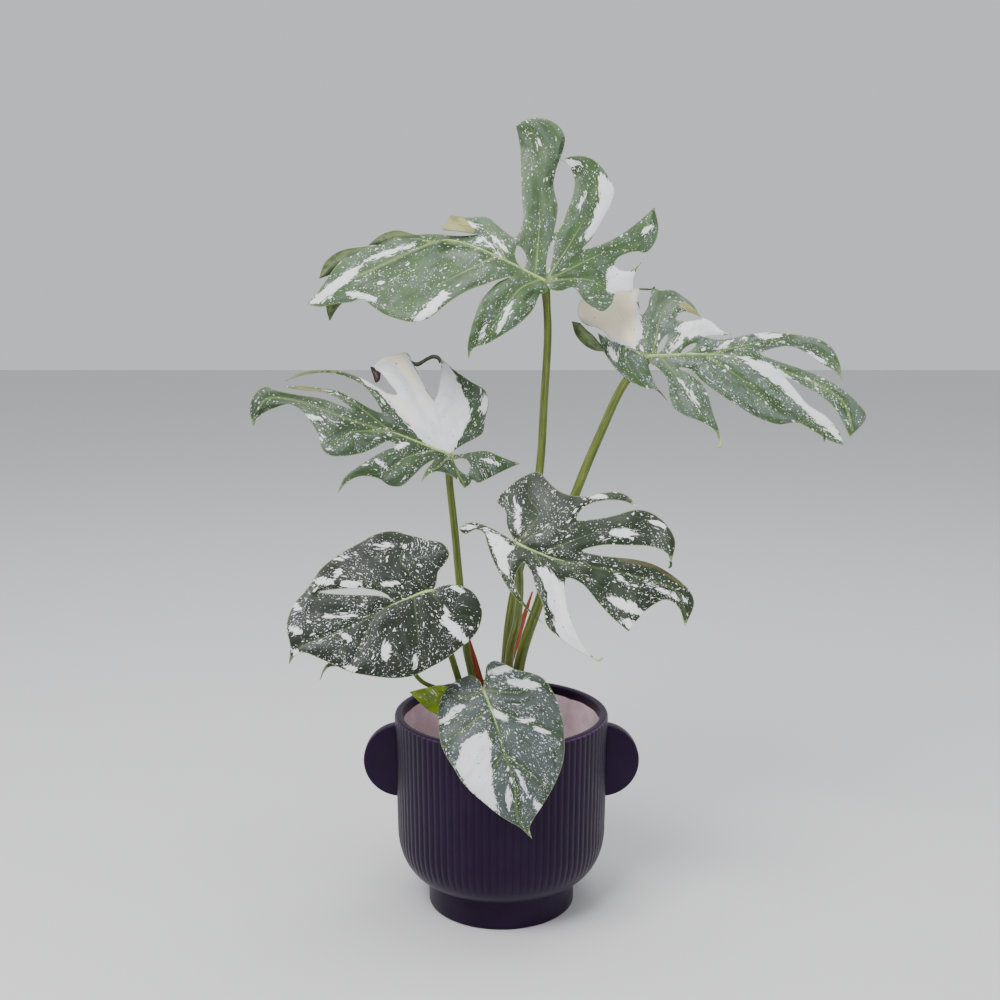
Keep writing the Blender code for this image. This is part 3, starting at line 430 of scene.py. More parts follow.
# Curled slivers and threads that hang off a blade: the two edges of each, and its paint.
CURLS = [
    ("leaf_top", "olive", [(-165, 33, -30), (-153, 42, -40), (-140, 46, -44), (-120, 42, -42)],
     [(-165, 33, -30), (-150, 34, -38), (-136, 38, -40), (-120, 42, -42)]),
    ("leaf_top", "olive", [(-212, 2, -10), (-206, 17, -18), (-191, 27.5, -26), (-163, 32, -30)],
     [(-212, 2, -10), (-197, 8, -18), (-183, 17, -24), (-163, 32, -30)]),
    ("leaf_top", "olive", [(-206, -23, 0), (-205, -30, -3), (-203, -37, -5)],
     [(-190, -19, 0), (-197, -27, -4), (-203, -37, -5)]),
    ("leaf_right", "olive", [(-73, 33, -4), (-69, 20, -2), (-60, 10, -1), (-50, 5, -1), (-41, 4, -1)],
     [(-65, 31, -8), (-58, 24, -8), (-52, 19, -7), (-46, 12, -5), (-41, 6, -3)]),
    ("leaf_right", "olive", [(-9, 64, -4), (-3, 64, -3), (3, 64, -3), (5, 66, -1)],
     [(-9, 63, -4), (-3, 62.6, -3), (3, 62.8, -3), (6, 65, -1)]),
    ("leaf_right", "lime", [(69, -70, -2), (71.5, -80, -4), (71, -86, -2), (68, -87, 0)],
     [(68, -70, -2), (70, -80, -4), (70, -85, -2), (68, -86, 0)]),
    ("leaf_right", "olive", [(162, -66, 2), (166, -72, 4), (168, -80, 5)],
     [(167, -66, 0), (170, -72, 2), (168, -80, 5)]),
    ("leaf_left", "dark",
     [(-6, 88, -4), (-10, 93, -6), (-15, 94, -8), (-20, 92, -9), (-30, 87, -8), (-37, 89, -4)],
     [(-9, 86, -2), (-11, 89.5, -3), (-15, 90.5, -4), (-20, 88.5, -5), (-30, 83, -5), (-37, 86, -4)]),
    ("leaf_left", "red", [(-74, 83, -5), (-69, 82, -8), (-65, 80, -8), (-65, 72, -6)],
     [(-73, 80, -5), (-71, 74, -6), (-69, 68, -6), (-66, 70, -6)]),
    ("leaf_middle", "lime", [(73, -106, 0), (76, -106.5, 1), (79, -104, 2)],
     [(72, -104.5, 0), (76, -105, 1), (78, -103.5, 2)]),
    ("leaf_middle", "olive", [(141, -17, 6), (141, -21, 5), (138, -23, 3)],
     [(139, -16, 6), (139.5, -20, 5), (138, -22, 3)]),
]

# Each sheath's route, in millimetres above the soil, and its two sizes, low and high.
SHEATHS = {
    "sheath_right": dict(route=[(0, -1, 40), (-1, 0, 105), (6, -2, 126), (18, -6, 163), (30, -10, 202)],
                         sizes=(5.0, 1.2)),
    "sheath_left": dict(route=[(-6, -6, 40), (-19, -18, 107), (-26, -22, 140), (-31, -24, 160)],
                        sizes=(4.5, 1.5)),
}


# ---------------------------------------------------------------- making meshes

def deselect():
    """Leave edit mode and select nothing."""
    if bpy.context.object and bpy.context.object.mode != "OBJECT":
        bpy.ops.object.mode_set(mode="OBJECT")
    bpy.ops.object.select_all(action="DESELECT")


def pick(*things):
    """Select these objects and make the first one active."""
    deselect()
    for thing in things:
        thing.select_set(True)
    bpy.context.view_layer.objects.active = things[0]


def settle(thing, angle=50):
    """Put the object's place into its mesh and set smooth shading on it."""
    pick(thing)
    bpy.ops.object.transform_apply(location=True, rotation=True, scale=True)
    bpy.ops.object.shade_smooth_by_angle(angle=math.radians(angle))


def apply_modifier(thing, kind, **values):
    """Add a modifier with these values and apply it."""
    pick(thing)
    modifier = thing.modifiers.new(kind.lower(), kind)
    for key, value in values.items():
        setattr(modifier, key, value)
    bpy.ops.object.modifier_apply(modifier=modifier.name)


def object_from(name, points, faces, materials, edges=()):
    """A new object from points in millimetres."""
    mesh = bpy.data.meshes.new(name)
    mesh.from_pydata([tuple(MM * c for c in p) for p in points], edges, faces)
    thing = bpy.data.objects.new(name, mesh)
    bpy.context.scene.collection.objects.link(thing)
    for material in materials:
        mesh.materials.append(material)
    return thing


def edit(thing):
    """Open the object in edit mode, with all of its mesh selected."""
    pick(thing)
    bpy.ops.object.mode_set(mode="EDIT")
    bpy.ops.mesh.select_all(action="SELECT")


def tube_faces(rings, sides):
    """The faces round a tube made of rings of points, and then its two ends."""
    faces = [(k * sides + j, k * sides + (j + 1) % sides,
              (k + 1) * sides + (j + 1) % sides, (k + 1) * sides + j)
             for k in range(rings - 1) for j in range(sides)]
    return faces + [tuple(range(sides))[::-1], tuple(range((rings - 1) * sides, rings * sides))]


def give(mesh, name, values):
    """Store one number for each point of the mesh."""
    layer = mesh.attributes.new(name, "FLOAT", "POINT")
    layer.data.foreach_set("value", np.asarray(values, np.float32))


def map_loops(mesh, name, pairs):
    """Store a UV pair for each corner of each face."""
    layer = mesh.uv_layers.new(name=name)
    layer.data.foreach_set("uv", np.asarray(pairs, np.float32).ravel())


def join(first, *others):
    """Join the objects into the first."""
    pick(first, *others)
    bpy.ops.object.join()
    return first


def smooth_line(points, step):
    """A smooth curve through the points (centripetal Catmull-Rom), in pieces of about one step."""
    points = [Vector(p) for p in points]
    padded = [2 * points[0] - points[1]] + points + [2 * points[-1] - points[-2]]
    line = points[:1]
    for a, b, c, d in zip(padded, padded[1:], padded[2:], padded[3:]):
        t1 = (b - a).length ** 0.5
        t2 = t1 + (c - b).length ** 0.5
        t3 = t2 + (d - c).length ** 0.5
        count = max(1, round((c - b).length / step))
        for k in range(1, count):
            t = t1 + (t2 - t1) * k / count
            ab, bc, cd = (a.lerp(b, t / t1), b.lerp(c, (t - t1) / (t2 - t1)),
                          c.lerp(d, (t - t2) / (t3 - t2)))
            line.append(ab.lerp(bc, t / t2).lerp(bc.lerp(cd, (t - t1) / (t3 - t1)), (t - t1) / (t2 - t1)))
        line.append(c)
    return line


def length_of(line):
    """The length of a line of points."""
    return sum((b - a).length for a, b in zip(line, line[1:]))


def point_at(line, distance):
    """The point this far along a line."""
    for a, b in zip(line, line[1:]):
        step = (b - a).length
        if distance <= step and step > 0:
            return a.lerp(b, distance / step)
        distance -= step
    return line[-1].copy()


def above_soil(point):
    """A point measured up from the soil, put in the frame."""
    return Vector((point[0], point[1], point[2] + SOIL))


def to_line(points, line):
    """For flat points: distance to a line, distance along it and signed distance across it.

    Past its ends the line is carried straight on for the last two.
    """
    line = np.array([tuple(p)[:2] for p in line], float)
    start, run = line[:-1], line[1:] - line[:-1]
    size = np.maximum((run ** 2).sum(1), 1e-9)
    before = np.concatenate([[0], np.cumsum(np.sqrt(size))[:-1]])
    away = points[:, None, :] - start[None]
    share = np.clip((away * run[None]).sum(2) / size, 0, 1)
    rest = away - share[..., None] * run[None]
    distance = np.sqrt((rest ** 2).sum(2))
    best = distance.argmin(1)
    rows = np.arange(len(points))
    size, run, away = np.sqrt(size[best]), run[best], away[rows, best]
    along = before[best] + (away * run).sum(1) / size
    across = (run[:, 0] * away[:, 1] - run[:, 1] * away[:, 0]) / size
    return distance[rows, best], along, across


def within(points, loop):
    """Which flat points a loop goes round."""
    loop = np.array([tuple(p)[:2] for p in loop], float)
    odd = np.zeros(len(points), bool)
    x, y = points[:, 0], points[:, 1]
    for (ax, ay), (bx, by) in zip(loop, np.roll(loop, -1, 0)):
        if ay != by:
            odd ^= ((ay > y) != (by > y)) & (x < ax + (bx - ax) * (y - ay) / (by - ay))
    return odd


# ---------------------------------------------------------------- blades

ROW_SHARE = 0.87                      # the rows of a triangle grid against its columns
PAINT_REACH = 8                       # how far off its edge paint is measured
EDGE_REACH = 20                       # and how far off a vein or the margin is
STEP = 2.0                            # between the points of a vein or a stalk


class Blade:
    """One leaf's drawing, worked out: its margin, holes, midrib and side veins."""

    def __init__(self, leaf):
        self.leaf = leaf
        self.hub = above_soil(leaf["hub"])
        self.out = (EYE - self.hub).normalized()
        self.right = Vector((0, 0, 1)).cross(self.out).normalized()
        self.up = self.out.cross(self.right)
        self.eye_distance = (EYE - self.hub).length
        self.rib = smooth_line([Vector((*p, 0)) for p in leaf["midrib"]], STEP)
        self.margin = self.make_margin()
        self.holes = [self.make_hole(cut) for half in (leaf["first"], leaf["second"])
                      for cut in half[1::2] if cut["hole"]]
        self.known = np.array([tuple(p) for loop in [self.margin, self.rib] + self.holes for p in loop])
        self.veins = self.make_veins()

    def depth(self, x, y, lift):
        """How far towards the front a drawn point is."""
        lean_x, lean_y, bow = self.leaf["lean"]
        return lean_x * x + lean_y * y - bow * (x * x + y * y) / 10000 + lift

    def place(self, x, y, lift):
        """A drawn point in the frame, seen from the eye where it was drawn."""
        depth = self.depth(x, y, lift)
        shrink = 1 - depth / self.eye_distance
        return self.hub + self.right * x * shrink + self.up * y * shrink + self.out * depth

    def make_margin(self):
        """The whole margin, smooth between its sharp points."""
        def half(parts):
            points = []
            for part in parts:
                points += [part["at"]] if isinstance(part, dict) else part
            return points
        leaf = self.leaf
        drawn = [tip(0, 0)] + half(leaf["first"]) + leaf["end"] + half(leaf["second"])[::-1] + [tip(0, 0)]
        sharp = [k for k, p in enumerate(drawn) if len(p) > 3]
        points = [Vector((p[0], p[1], p[2] if len(p) > 2 else 0)) for p in drawn]
        loop = []
        for a, b in zip(sharp, sharp[1:]):
            loop += smooth_line(points[a:b + 1], 1.7)[:-1]
        return loop

    def make_hole(self, cut):
        """A ring round a stretch of a slit's line."""
        first, last, (left, right) = cut["hole"]
        line = smooth_line([point_at(self.rib, cut["root"])] + [Vector((*p, 0)) for p in cut["via"]]
                           + [Vector(cut["at"])], STEP)
        along = line[-1] - line[0]
        across = Vector((-along.y, along.x, 0)).normalized()
        total, steps = length_of(line), 12
        ring = []
        for k in range(2 * steps):
            back = k > steps
            share = (2 * steps - k if back else k) / steps
            width = -right if back else left
            ring.append(point_at(line, total * (first + (last - first) * share))
                        + across * width * math.sin(math.pi * share) ** 0.7)
        return ring

    def make_veins(self):
        """A side vein down the middle of each lobe, and the midrib carried on to the end."""
        veins = []
        for name in ("first", "second"):
            parts = self.leaf[name]
            cuts = [dict(root=0, at=(0, 0, 0))] + parts[1::2]
            for before, lobe, after in zip(cuts, parts[0::2], cuts[1:]):
                veins.append(self.lobe_vein(before, lobe, after))
        ends = [self.leaf["first"][-1], self.leaf["second"][-1]]
        last = self.lobe_vein(ends[0], self.leaf["end"], ends[1])
        ahead = [point_at(last, length_of(last) * share) for share in (0.6, 0.8, 1.0)]
        self.spine = self.trimmed(smooth_line([Vector((*p, 0)) for p in self.leaf["midrib"]] + ahead, STEP))
        return [self.trimmed(vein) for vein in veins] + [self.spine]

    def trimmed(self, line):
        """The line as far as it stays on the blade."""
        flat = np.array([(p.x, p.y) for p in line])
        inside = within(flat, self.margin)
        for hole in self.holes:
            inside &= ~within(flat, hole)
        inside[:3] = True
        end = len(line) if inside.all() else int(np.argmin(inside))
        return line[:max(4, end)]

    def lobe_vein(self, before, lobe, after):
        """A vein from the midrib to a lobe's end, midway between its sides."""
        root = point_at(self.rib, (before["root"] + after["root"]) / 2)
        points = [Vector(before["at"])] + [Vector((p[0], p[1], 0)) for p in lobe] + [Vector(after["at"])]
        sharp = [k + 1 for k, p in enumerate(lobe) if len(p) > 3]
        turn = sharp[0] if sharp else max(range(1, len(points) - 1),
                                          key=lambda k: (points[k] - root).length)
        rise, fall = smooth_line(points[:turn + 1], STEP), smooth_line(points[turn:], STEP)[::-1]
        middle = [(point_at(rise, length_of(rise) * s) + point_at(fall, length_of(fall) * s)) / 2
                  for s in (0.12, 0.4, 0.7, 0.93)]
        flat = [Vector((root.x, root.y, 0))]
        for p in middle:
            if math.hypot(p.x - flat[-1].x, p.y - flat[-1].y) > 2:
                flat.append(Vector((p.x, p.y, 0)))
        return smooth_line(flat, STEP)

    def lift(self, points):
        """The drawn lift at any point, from the points where it is known."""
        result = np.empty(len(points))
        for k in range(0, len(points), 1000):
            apart = ((points[k:k + 1000, None] - self.known[None, :, :2]) ** 2).sum(2)
            weight = 1 / (apart + 0.02) ** 1.5
            result[k:k + 1000] = (weight * self.known[:, 2]).sum(1) / weight.sum(1)
        return result

    def relief(self, flat):
        """The drawn lift with the dips at the veins, the rolled margin and a slight wave."""
        size = np.abs(self.known[:, :2]).max()
        seed = 7.0 * LEAVES.index(self.leaf)
        spine = to_line(flat, self.spine)[0]
        vein = np.min([to_line(flat, line)[0] for line in self.veins[:-1]], axis=0)
        edge = np.min([to_line(flat, loop + [loop[0]])[0] for loop in [self.margin] + self.holes], axis=0)
        relief = 0.9 * (1 - soft(vein, 7.0)) * (1 - soft(edge, 7.0)) - 0.9 * soft(spine, 5.0)
        relief -= 1.1 * np.clip(1 - edge / 6.0, 0, 1) ** 2
        relief += np.array([2.0 * noise.noise(Vector((x / 38, y / 38, seed)))
                            + 0.7 * noise.noise(Vector((x / 13, y / 13, seed))) for x, y in flat])
        return self.lift(flat) + relief * min(1.0, size / 120), spine, vein, edge

    def mesh(self, spacing):
        """Flat points and triangles between the margin, the holes and a grid inside."""
        loops = [self.margin] + self.holes
        flat, edges = [], []
        for loop in loops:
            start = len(flat)
            flat += [(p.x, p.y) for p in loop]
            edges += [(start + k, start + (k + 1) % len(loop)) for k in range(len(loop))]
        ring = np.array(flat)
        veins = np.array([(p.x, p.y) for vein in self.veins for p in vein[1:]])
        veins = veins[within(veins, self.margin)]
        veins = veins[np.sqrt(((veins[:, None] - ring[None]) ** 2).sum(2)).min(1) > 0.7 * spacing]
        low, high = ring.min(0), ring.max(0)
        rows = np.arange(0, (high[1] - low[1]) / (ROW_SHARE * spacing))
        columns = np.arange(0, (high[0] - low[0]) / spacing)
        grid = np.array([(low[0] + spacing * (c + 0.5 * (r % 2)), low[1] + ROW_SHARE * spacing * r)
                         for r in rows for c in columns])
        grid = grid[within(grid, self.margin)]
        others = np.concatenate([ring, veins])
        near = np.concatenate([np.sqrt(((grid[k:k + 800, None] - others[None]) ** 2).sum(2)).min(1)
                               for k in range(0, len(grid), 800)])
        grid = grid[near > 0.6 * spacing]
        flat = [Vector(p) for p in np.concatenate([ring, veins, grid])]
        points, _, faces, *_ = delaunay_2d_cdt(flat, edges, [], 0, 1e-5)
        points = np.array([tuple(p) for p in points])
        faces = np.array(faces)
        middle = points[faces].mean(1)
        keep = within(middle, self.margin)
        for hole in self.holes:
            keep &= ~within(middle, hole)
        faces = faces[keep]
        used, faces = np.unique(faces, return_inverse=True)
        return points[used], faces.reshape(-1, 3)


def soft(x, width):
    """1 at nothing, falling softly past the width."""
    return np.exp(-(x / width) ** 2)


def band(x, middle, width):
    """1 at the middle, falling to 0 at the width from it."""
    return np.clip(1 - np.abs(x - middle) / width, 0, 1)


def ramp(x, start, width):
    """0 up to the start, rising to 1 over the width."""
    return np.clip((x - start) / width, 0, 1)


def area_field(points, areas, lines):
    """How deep each point lies inside the painted areas, in millimetres; negative outside."""
    field = np.full(len(points), -30.0)
    for area in areas:
        distance, _, _ = to_line(points, list(area) + [area[0]])
        field = np.maximum(field, np.where(within(points, area), distance, -distance))
    for x0, y0, x1, y1, width in lines:
        distance, along, _ = to_line(points, [(x0, y0), (x1, y1)])
        total = math.hypot(x1 - x0, y1 - y0)
        taper = 0.45 + 0.55 * np.sin(np.pi * np.clip(along / total, 0, 1))
        field = np.maximum(field, width / 2 * taper - distance)
    return field


def ridge(name, blade, line, sizes, sink, material, flat=0.75, sides=10):
    """A vein's raised cord along a line of the blade, thinning to its end."""
    points = []
    xy = np.array([(p.x, p.y) for p in line])
    lifts = blade.relief(xy)[0]
    centres = [blade.place(x, y, lift - sink) for (x, y), lift in zip(xy, lifts)]
    count = len(centres)
    for k, centre in enumerate(centres):
        ahead = (centres[min(k + 1, count - 1)] - centres[max(k - 1, 0)]).normalized()
        side = ahead.cross(blade.out).normalized()
        size = sizes[0] + (sizes[1] - sizes[0]) * (k / (count - 1)) ** 0.6
        for j in range(sides):
            turn = 2 * math.pi * j / sides
            points.append(centre + side * size * math.cos(turn) + blade.out * size * flat * math.sin(turn))
    thing = object_from(name, points, tube_faces(count, sides), [material])
    edit(thing)
    bpy.ops.mesh.normals_make_consistent(inside=False)
    bpy.ops.object.mode_set(mode="OBJECT")
    return thing


def curl(blade, edges, material, thickness):
    """A rolled sliver between two edges."""
    a, b = (smooth_line(edge, 1.2) for edge in edges)
    count, across = max(len(a), len(b), 6), 7
    points = []
    for k in range(count):
        p = point_at(a, length_of(a) * k / (count - 1))
        q = point_at(b, length_of(b) * k / (count - 1))
        for j in range(across):
            share = j / (across - 1)
            middle = p.lerp(q, share)
            bulge = (p - q).to_2d().length * 0.35 * math.sin(math.pi * share)
            points.append(blade.place(middle.x, middle.y, middle.z + bulge))
    faces = [(across * k + j, across * k + j + 1, across * (k + 1) + j + 1, across * (k + 1) + j)
             for k in range(count - 1) for j in range(across - 1)]
    thing = object_from("curl", points, faces, [material])
    edit(thing)
    bpy.ops.mesh.remove_doubles(threshold=0.00005)
    bpy.ops.object.mode_set(mode="OBJECT")
    apply_modifier(thing, "SOLIDIFY", thickness=thickness, offset=0.0)
    return thing


def make_leaf(leaf, settings, materials):
    """A blade with its relief, paint, midrib, side veins and curls."""
    blade = Blade(leaf)
    name = leaf["name"]
    paint = PAINT[name]
    flat, faces = blade.mesh(settings.spacing / MM)
    lifts, spine, vein, edge = blade.relief(flat)
    runs = [to_line(flat, line) for line in blade.veins]
    seed = 7.0 * LEAVES.index(leaf)
    placed = [blade.place(x, y, lift) for (x, y), lift in zip(flat, lifts)]
    thing = object_from(name + "_blade", placed, faces.tolist(), materials[:2])
    mesh = thing.data
    # The dark lines are painted shade along folds and along the edges of lobes that lie over others.
    for attribute_name, areas, lines in (("white_area", "white", "streaks"), ("olive_area", "olive", ""),
                                         ("cream_area", "cream", ""), ("fold_shade_area", "", "dark")):
        field = area_field(flat, paint.get(areas, []), paint.get(lines, []))
        give(mesh, attribute_name, np.clip(field, -PAINT_REACH, PAINT_REACH) / PAINT_REACH)
    # A side vein's paint thins with the distance from the midrib.
    along_vein = np.min([np.where(run[0] == vein, run[1], 1e9) for run in runs[:-1]], axis=0)
    fade = np.clip(1 - along_vein / 75, 0, 1)
    for attribute_name, distance in (("vein", np.minimum(vein / np.maximum(fade, 0.05), spine)),
                                     ("vein_zone", np.minimum(vein, spine)), ("edge", edge)):
        give(mesh, attribute_name, np.clip(distance, 0, EDGE_REACH) / 10)
    # The shade number is painted shade, darkening the whole blade's green.
    for key in ("painted_shade", "flecks", "grey"):
        give(mesh, key, np.full(len(flat), paint[key]))
    give(mesh, "young", np.full(len(flat), 1.0 if name == "leaf_young" else 0.0))
    middle = flat[faces].mean(1)
    nearest = np.argmin([to_line(middle, vein)[0] for vein in blade.veins], axis=0)
    along = np.array([run[1] for run in runs])
    across = np.array([run[2] for run in runs])
    loops = []
    for face, lobe in zip(faces, nearest):
        loops += [(along[lobe, k] / 100 + 0.31 * lobe, across[lobe, k] / 100 + 0.17 * lobe + seed)
                  for k in face]
    map_loops(mesh, "grain", loops)
    apply_modifier(thing, "SOLIDIFY", thickness=settings.thickness, offset=0.0,
                   material_offset=1, material_offset_rim=0)
    half = settings.thickness / MM / 2
    big = min(1.0, np.abs(flat).max() / 110)
    extra = [ridge("rib", blade, blade.spine[:-4], (1.9 * big, 0.25), 0.40, materials[2])]
    extra += [ridge("vein", blade, run[:-2], (0.9 * big, 0.25), half + 0.4, materials[2], 0.7, 8)
              for run in blade.veins[:-1] if len(run) > 8]
    kinds = {"olive": materials[3], "dark": materials[4], "lime": materials[2], "red": materials[5]}
    for owner, kind, *edges in CURLS:
        if owner == name:
            extra.append(curl(blade, edges, kinds[kind], settings.thickness))
    join(thing, *extra)
    settle(thing, 60)
    return thing, blade


# ---------------------------------------------------------------- material helpers

def node(tree, kind, inputs=(), **settings):
    """Add a node, then set its settings, and set or link its inputs."""
    made = tree.nodes.new("ShaderNode" + kind)
    for key, value in settings.items():
        setattr(made, key, value)
    for key, value in dict(inputs).items():
        socket = made.inputs[key]
        if isinstance(value, bpy.types.NodeSocket):
            tree.links.new(value, socket)
        else:
            socket.default_value = value
    return made


def maths(tree, operation, a, b, c=None):
    """A Math node's result, from numbers or sockets."""
    inputs = {0: a, 1: b} if c is None else {0: a, 1: b, 2: c}
    return node(tree, "Math", inputs, operation=operation).outputs[0]


def plus(tree, a, b):
    return maths(tree, "ADD", a, b)


def minus(tree, a, b):
    return maths(tree, "SUBTRACT", a, b)


def times(tree, a, b):
    return maths(tree, "MULTIPLY", a, b)


def vectors(tree, operation, a, b):
    """A Vector Math node's result."""
    return node(tree, "VectorMath", {0: a, 1: b}, operation=operation).outputs[0]


def between(tree, value, low, high, to_low=0.0, to_high=1.0):
    """Spread the stretch from low to high over to_low to to_high, with soft ends."""
    return node(tree, "MapRange", {"Value": value, "From Min": low, "From Max": high,
                                   "To Min": to_low, "To Max": to_high},
                interpolation_type="SMOOTHSTEP").outputs["Result"]


def mixed(tree, share, a, b):
    """A colour between a and b. A plain colour is three numbers."""
    a, b = ((*c, 1.0) if not isinstance(c, bpy.types.NodeSocket) else c for c in (a, b))
    return node(tree, "Mix", {0: share, 6: a, 7: b}, data_type="RGBA").outputs[2]


def dimmed(colour, share):
    """A plain colour times a plain number."""
    return tuple(share * c for c in colour)


def scaled(tree, colour, share):
    """A colour or vector times a number that may vary."""
    return node(tree, "VectorMath", {0: colour, "Scale": share}, operation="SCALE").outputs[0]


def attribute(tree, name):
    """A number stored on the mesh's points."""
    return node(tree, "Attribute", attribute_name=name).outputs["Fac"]


def stretched(tree, vector, x, y, z=1.0):
    """A vector with each axis times its own number."""
    return vectors(tree, "MULTIPLY", vector, (x, y, z))


def cloudy(tree, vector, scale=1.0, detail=3.0, roughness=0.5):
    """Noise over a vector."""
    return node(tree, "TexNoise", {"Vector": vector, "Scale": scale, "Detail": detail,
                                   "Roughness": roughness}).outputs[0]


def new_material(name, colour, roughness, **fixed):
    """A material, its tree and its shader, with what is the same all over on the shader."""
    material = bpy.data.materials.new(name)
    material.use_nodes = True
    tree = material.node_tree
    tree.nodes.clear()
    inputs = {"Base Color": (*colour, 1.0), "Roughness": roughness}
    inputs.update({key.replace("_", " "): value for key, value in fixed.items()})
    shader = node(tree, "BsdfPrincipled", inputs)
    node(tree, "OutputMaterial", {"Surface": shader.outputs[0]})
    return material, tree, shader


def finish(tree, shader, colour=None, roughness=None, height=None, distance=0.0002):
    """Link what varies over the surface to the shader."""
    if colour is not None:
        tree.links.new(colour, shader.inputs["Base Color"])
    if roughness is not None:
        tree.links.new(roughness, shader.inputs["Roughness"])
    if height is not None:
        relief = node(tree, "Bump", {"Height": height, "Distance": distance, "Strength": 1.0})
        tree.links.new(relief.outputs[0], shader.inputs["Normal"])


def new_group(name, inputs, outputs):
    """A node group with named inputs, where None is a vector, and named outputs."""
    tree = bpy.data.node_groups.new(name, "ShaderNodeTree")
    for key, value in inputs.items():
        kind = "NodeSocketVector" if value is None else "NodeSocketFloat"
        socket = tree.interface.new_socket(name=key, in_out="INPUT", socket_type=kind)
        if value is not None:
            socket.default_value = value
    for key in outputs:
        tree.interface.new_socket(name=key, in_out="OUTPUT", socket_type="NodeSocketFloat")
    return tree, tree.nodes.new("NodeGroupInput").outputs, tree.nodes.new("NodeGroupOutput").inputs


def grouped(tree, group, inputs):
    """The outputs of a node group placed in the tree."""
    return node(tree, "Group", inputs, node_tree=group).outputs


def group_named(name, make):
    """The node group of this name, made the first time."""
    return bpy.data.node_groups.get(name) or make(name)


def make_variegation(name):
    """White flecks, streaks and painted areas, and grey marbling, drawn out along the veins."""
    tree, given, out = new_group(name, {"Grain": None, "Flecks": 0.5, "Grey": 0.5, "White area": -1.0,
                                        "Vein zone": 1.0}, ("White", "Grey", "Fine"))
    wander = node(tree, "TexNoise", {"Vector": given["Grain"], "Scale": 9.0, "Detail": 2.0}).outputs["Color"]
    wander = scaled(tree, vectors(tree, "SUBTRACT", wander, (0.5, 0.5, 0.5)), 0.07)
    grain = vectors(tree, "ADD", given["Grain"], wander)
    patch = between(tree, cloudy(tree, stretched(tree, grain, 2.4, 4.5), 1.0, 2.0), 0.36, 0.64, 0.35, 1.5)
    beside = between(tree, given["White area"], -0.9, -0.1, 0.0, 0.35)
    dense = plus(tree, times(tree, given["Flecks"], patch), beside)

    masks = []
    for along, across, share, size, seed in ((10, 28, 0.20, 0.30, 0.0), (26, 62, 0.42, 0.30, 5.3),
                                             (60, 125, 0.62, 0.32, 9.1)):
        place = vectors(tree, "ADD", stretched(tree, grain, along, across), (seed, seed, seed))
        cells = node(tree, "TexVoronoi", {"Vector": place, "Scale": 1.0})
        red, green, _ = node(tree, "SeparateColor", {0: cells.outputs["Color"]}).outputs
        reach = maths(tree, "MULTIPLY_ADD", green, size, 0.08)
        spot = maths(tree, "LESS_THAN", red, times(tree, dense, share))
        inner = minus(tree, reach, cells.outputs["Distance"])
        masks.append(times(tree, spot, between(tree, inner, 0.0, 0.07)))
    streak = cloudy(tree, stretched(tree, grain, 4.5, 36), 1.0, 3.0, 0.6)
    gate = minus(tree, 0.765, times(tree, dense, 0.07))
    masks.append(between(tree, minus(tree, streak, gate), 0.0, 0.015))
    ragged = minus(tree, cloudy(tree, stretched(tree, grain, 7, 45), 1.0, 4.0, 0.62), 0.5)
    area = maths(tree, "MULTIPLY_ADD", ragged, 1.5, given["White area"])
    masks.append(between(tree, area, -0.02, 0.06))
    white = masks[0]
    for mask in masks[1:]:
        white = maths(tree, "MAXIMUM", white, mask)
    # Green flecks inside the white areas.
    cells = node(tree, "TexVoronoi", {"Vector": stretched(tree, grain, 24, 80), "Scale": 1.0})
    red, _, _ = node(tree, "SeparateColor", {0: cells.outputs["Color"]}).outputs
    spot = times(tree, maths(tree, "LESS_THAN", red, 0.05),
                 between(tree, cells.outputs["Distance"], 0.30, 0.20))
    tree.links.new(times(tree, white, minus(tree, 1.0, spot)), out["White"])
    marble = cloudy(tree, stretched(tree, grain, 4, 13), 1.0, 6.0, 0.62)
    marble = plus(tree, marble, times(tree, given["Grey"], 0.16))
    marble = times(tree, between(tree, marble, 0.48, 0.66), given["Grey"])
    away = between(tree, given["Vein zone"], 0.08, 0.55, 0.35, 1.0)
    tree.links.new(times(tree, marble, away), out["Grey"])
    tree.links.new(cloudy(tree, stretched(tree, grain, 7, 150), 1.0, 1.0), out["Fine"])
    return tree


def make_streaks(name):
    """Long irregular streaks, spread by Across along x and by Along along y of the given vector."""
    tree, given, out = new_group(name, {"Vector": None, "Across": 10.0, "Along": 1.0, "Detail": 3.0},
                                 ("Streak", "Fine"))
    spread = node(tree, "CombineXYZ", {"X": given["Across"], "Y": given["Along"], "Z": 1.0}).outputs[0]
    for key, more in (("Streak", 1.0), ("Fine", 3.3)):
        place = vectors(tree, "MULTIPLY", given["Vector"], spread)
        tree.links.new(cloudy(tree, place, more, given["Detail"], 0.6), out[key])
    return tree


# ---------------------------------------------------------------- materials

